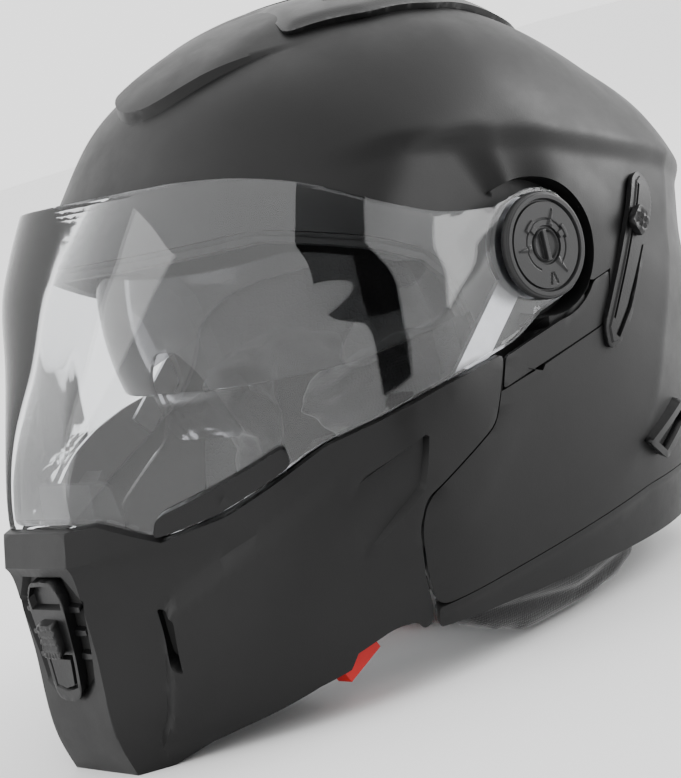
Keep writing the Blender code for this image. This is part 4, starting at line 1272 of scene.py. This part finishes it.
def curve_through(points, count):
    """Points of the smooth curve through the given ones."""
    points = np.array([points[0], *points, points[-1]], float)
    made = []
    for i in range(1, len(points) - 2):
        for k in range(count):
            t = k / count
            p0, p1, p2, p3 = points[i - 1:i + 3]
            made.append(0.5 * (
                2 * p1 + (p2 - p0) * t + (2 * p0 - 5 * p1 + 4 * p2 - p3) * t**2
                + (3 * p1 - p0 - 3 * p2 + p3) * t**3
            ))
    made.append(points[-2])
    return np.array(made)
STRAP_SHARES = (0, 0.03, 0.08, 0.11, 0.14, 0.3, 0.5, 0.7, 0.86, 0.89, 0.92, 0.97, 1)
# Thinner at the edges and along the stitches.
STRAP_THICKNESS = (0.5, 0.9, 1, 0.75, 1, 1, 1, 1, 1, 0.75, 1, 0.9, 0.5)


def closed_sheet(name, front, back, material, body, node):
    """A thin closed piece from its two faces, each rows of points, and the area of one face."""
    rows, columns = len(front), len(front[0])
    half = rows * columns
    index = np.arange(half).reshape(rows, columns).tolist()
    faces = []
    for row, following in zip(index, index[1:]):
        for c in range(columns - 1):
            cell = (row[c], following[c], following[c + 1], row[c + 1])
            faces += [cell, tuple(i + half for i in reversed(cell))]
    left, right = [row[0] for row in index], [row[-1] for row in index]
    border = [*index[0], *right[1:], *index[-1][-2::-1], *left[-2:0:-1]]
    faces += [(a, b, b + half, a + half) for a, b in zip(border, border[1:] + border[:1])]
    points = [p for face in (front, back) for row in face for p in row]
    made = add_mesh(name, points, faces, material, body, [node], sharp=50)
    shape = bmesh.new()
    shape.from_mesh(made.data)
    bmesh.ops.recalc_face_normals(shape, faces=shape.faces)
    shape.to_mesh(made.data)
    area = sum(face.calc_area() for face in shape.faces) / 2
    shape.free()
    return made, area


def build_straps():
    path = curve_through(STRAP, 12)
    run = np.gradient(path, axis=0)
    run /= np.linalg.norm(run, axis=1, keepdims=True)
    across = np.stack([-run[:, 1], run[:, 0]], axis=-1)

    def face_points(side, face):
        rows = []
        for (x, z), (nx, nz) in zip(path, across):
            lifts = [face * wall * STRAP_WALL / 2 for wall in STRAP_THICKNESS]
            rows.append([
                (side * (x + nx * lift), mix(*STRAP_Y, share), z + nz * lift)
                for share, lift in zip(STRAP_SHARES, lifts)
            ])
        return rows

    for side, name in ((1, "left"), (-1, "right")):
        made, _ = closed_sheet(
            f"webbing_{name}", face_points(side, 1), face_points(side, -1), WEB, "helmet_shell",
            f"chin_strap_{name}",
        )


CURTAIN_Z = -0.1340
CURTAIN_BACK_Y = -0.1185
CURTAIN_WALL = 0.0014
CURTAIN_HALF_WIDTH = 0.0800
CURTAIN_INSET = 0.0052
CURTAIN_SAG = 0.0018


def build_curtain():
    xs = np.linspace(-CURTAIN_HALF_WIDTH, CURTAIN_HALF_WIDTH, 61)
    flat = CHIN.domain_front(np.abs(xs), np.full_like(xs, CURTAIN_Z))
    degrees = np.degrees(np.arctan2(flat[:, 1], flat[:, 0]))
    front = CHIN.point(degrees, np.hypot(*flat.T), -CURTAIN_INSET)[:, 1]
    front = np.minimum(front, CURTAIN_BACK_Y - 0.002)

    def face_points(face):
        rows = []
        for x, y in zip(xs, front):
            row = []
            for share in np.linspace(0, 1, 17):
                sag = CURTAIN_SAG * math.sin(math.pi * share) * math.cos(x * 60)
                hem = 1 + 1.2 * math.exp(-((share / 0.07) ** 2))
                lift = face * hem * CURTAIN_WALL / 2
                row.append((x, mix(CURTAIN_BACK_Y, y, share), CURTAIN_Z - sag + lift))
            rows.append(row)
        return rows

    made, area = closed_sheet("chin_skirt", face_points(1), face_points(-1), KNIT, "chin_bar", "chin_curtain")


# ---------------- plain nodes kept from the CAD
KEPT = {
    "impact_liner": (FOAM, 0.0012), "chin_bar_liner": (FOAM, 0.0010), "pivot_base_{side}": (TRIM, 0.0004),
    "sun_visor_bracket_{side}": (TRIM, 0.0006), "chin_bar_arm_{side}": (STEEL, 0.0004),
    "latch_hook_{side}": (STEEL, 0.0004), "latch_striker_{side}": (STEEL, 0.0005),
    "strap_anchor_{side}": (STEEL, 0.0004), "buckle_body": (TRIM, 0.0008), "buckle_tongue": (STEEL, 0.0003),
    "buckle_lever": (RED, 0.0007), "release_tab": (RED, 0.0012),
}


def finish_kept():
    for pattern, (look, width) in KEPT.items():
        for node in sorted({pattern.format(side=side) for side in ("left", "right")}):
            solid = bpy.data.objects[node]
            solid.data.materials.clear()
            solid.data.materials.append(look)
            edges = solid.modifiers.new("Bevel", "BEVEL")
            edges.width = width
            edges.segments = 3
            edges.limit_method = "ANGLE"
            edges.angle_limit = math.radians(40)


# ---------------- stage
def area_light(name, location, target, size, power):
    data = bpy.data.lights.new(name, "AREA")
    data.shape = "RECTANGLE"
    data.size, data.size_y = size
    data.energy = power
    made = bpy.data.objects.new(name, data)
    bpy.context.scene.collection.objects.link(made)
    made.location = location
    made.rotation_mode = "QUATERNION"
    made.rotation_quaternion = (Vector(target) - Vector(location)).to_track_quat("-Z", "Y")
    return made


# Black cards beside the camera, which the clear visor mirrors: name, foot, turn, (width, height).
FLAGS = [("flag_side", (0.78, -0.12, 0.001), 75, (0.34, 0.75))]


def build_stage():
    floor_mesh = bpy.data.meshes.new("floor")
    reach = 6.0
    corners = [(-reach, -reach, 0), (reach, -reach, 0), (reach, reach, 0), (-reach, reach, 0)]
    floor_mesh.from_pydata(corners, [], [(0, 1, 2, 3)])
    floor = bpy.data.objects.new("floor", floor_mesh)
    bpy.context.scene.collection.objects.link(floor)
    made, _, _, shader = new_material("pale_floor")
    shader.inputs["Base Color"].default_value = (0.86, 0.86, 0.86, 1)
    shader.inputs["Roughness"].default_value = 0.8
    floor_mesh.materials.append(made)

    world = bpy.data.worlds.new("studio")
    bpy.context.scene.world = world
    world.use_nodes = True
    background = world.node_tree.nodes["Background"]
    background.inputs["Color"].default_value = (1.0, 1.0, 1.0, 1)
    background.inputs["Strength"].default_value = 2.0

    middle = (0, 0, 0.15)
    area_light("key", (-0.9, -1.9, 1.3), middle, (1.4, 1.4), 16)
    area_light("rim", (0.9, 2.0, 0.8), middle, (1.0, 1.4), 45)
    area_light("ear", (1.7, 1.25, 0.25), middle, (0.9, 0.4), 5)

    for name, centre, turn, size in FLAGS:
        card_mesh = bpy.data.meshes.new(name)
        half, height = size[0] / 2, size[1]
        corners = [(-half, 0, 0), (half, 0, 0), (half, 0, height), (-half, 0, height)]
        card_mesh.from_pydata(corners, [], [(0, 1, 2, 3)])
        card = bpy.data.objects.new(name, card_mesh)
        bpy.context.scene.collection.objects.link(card)
        card.location = centre
        card.rotation_euler = (0, 0, math.radians(turn))
        card_mesh.materials.append(DARK)

    camera_data = bpy.data.cameras.new("camera")
    camera_data.sensor_fit = "HORIZONTAL"
    camera_data.sensor_width = 36
    camera_data.lens = 127.9
    camera = bpy.data.objects.new("camera", camera_data)
    bpy.context.scene.collection.objects.link(camera)
    right = Vector((0.6147, 0.7397, -0.2738))
    up = Vector((0.0517, 0.3086, 0.9498))
    back = Vector((0.7871, -0.5980, 0.1514))
    turn = Matrix((right, up, back)).transposed()
    camera.matrix_world = Matrix.Translation((0.857, -0.652, 0.276)) @ turn.to_4x4()
    bpy.context.scene.camera = camera


build_stage()
build_shell()
build_chin()
build_visor()
build_trims()
build_controls()
build_dials()
build_padding()
build_straps()
build_curtain()
finish_kept()
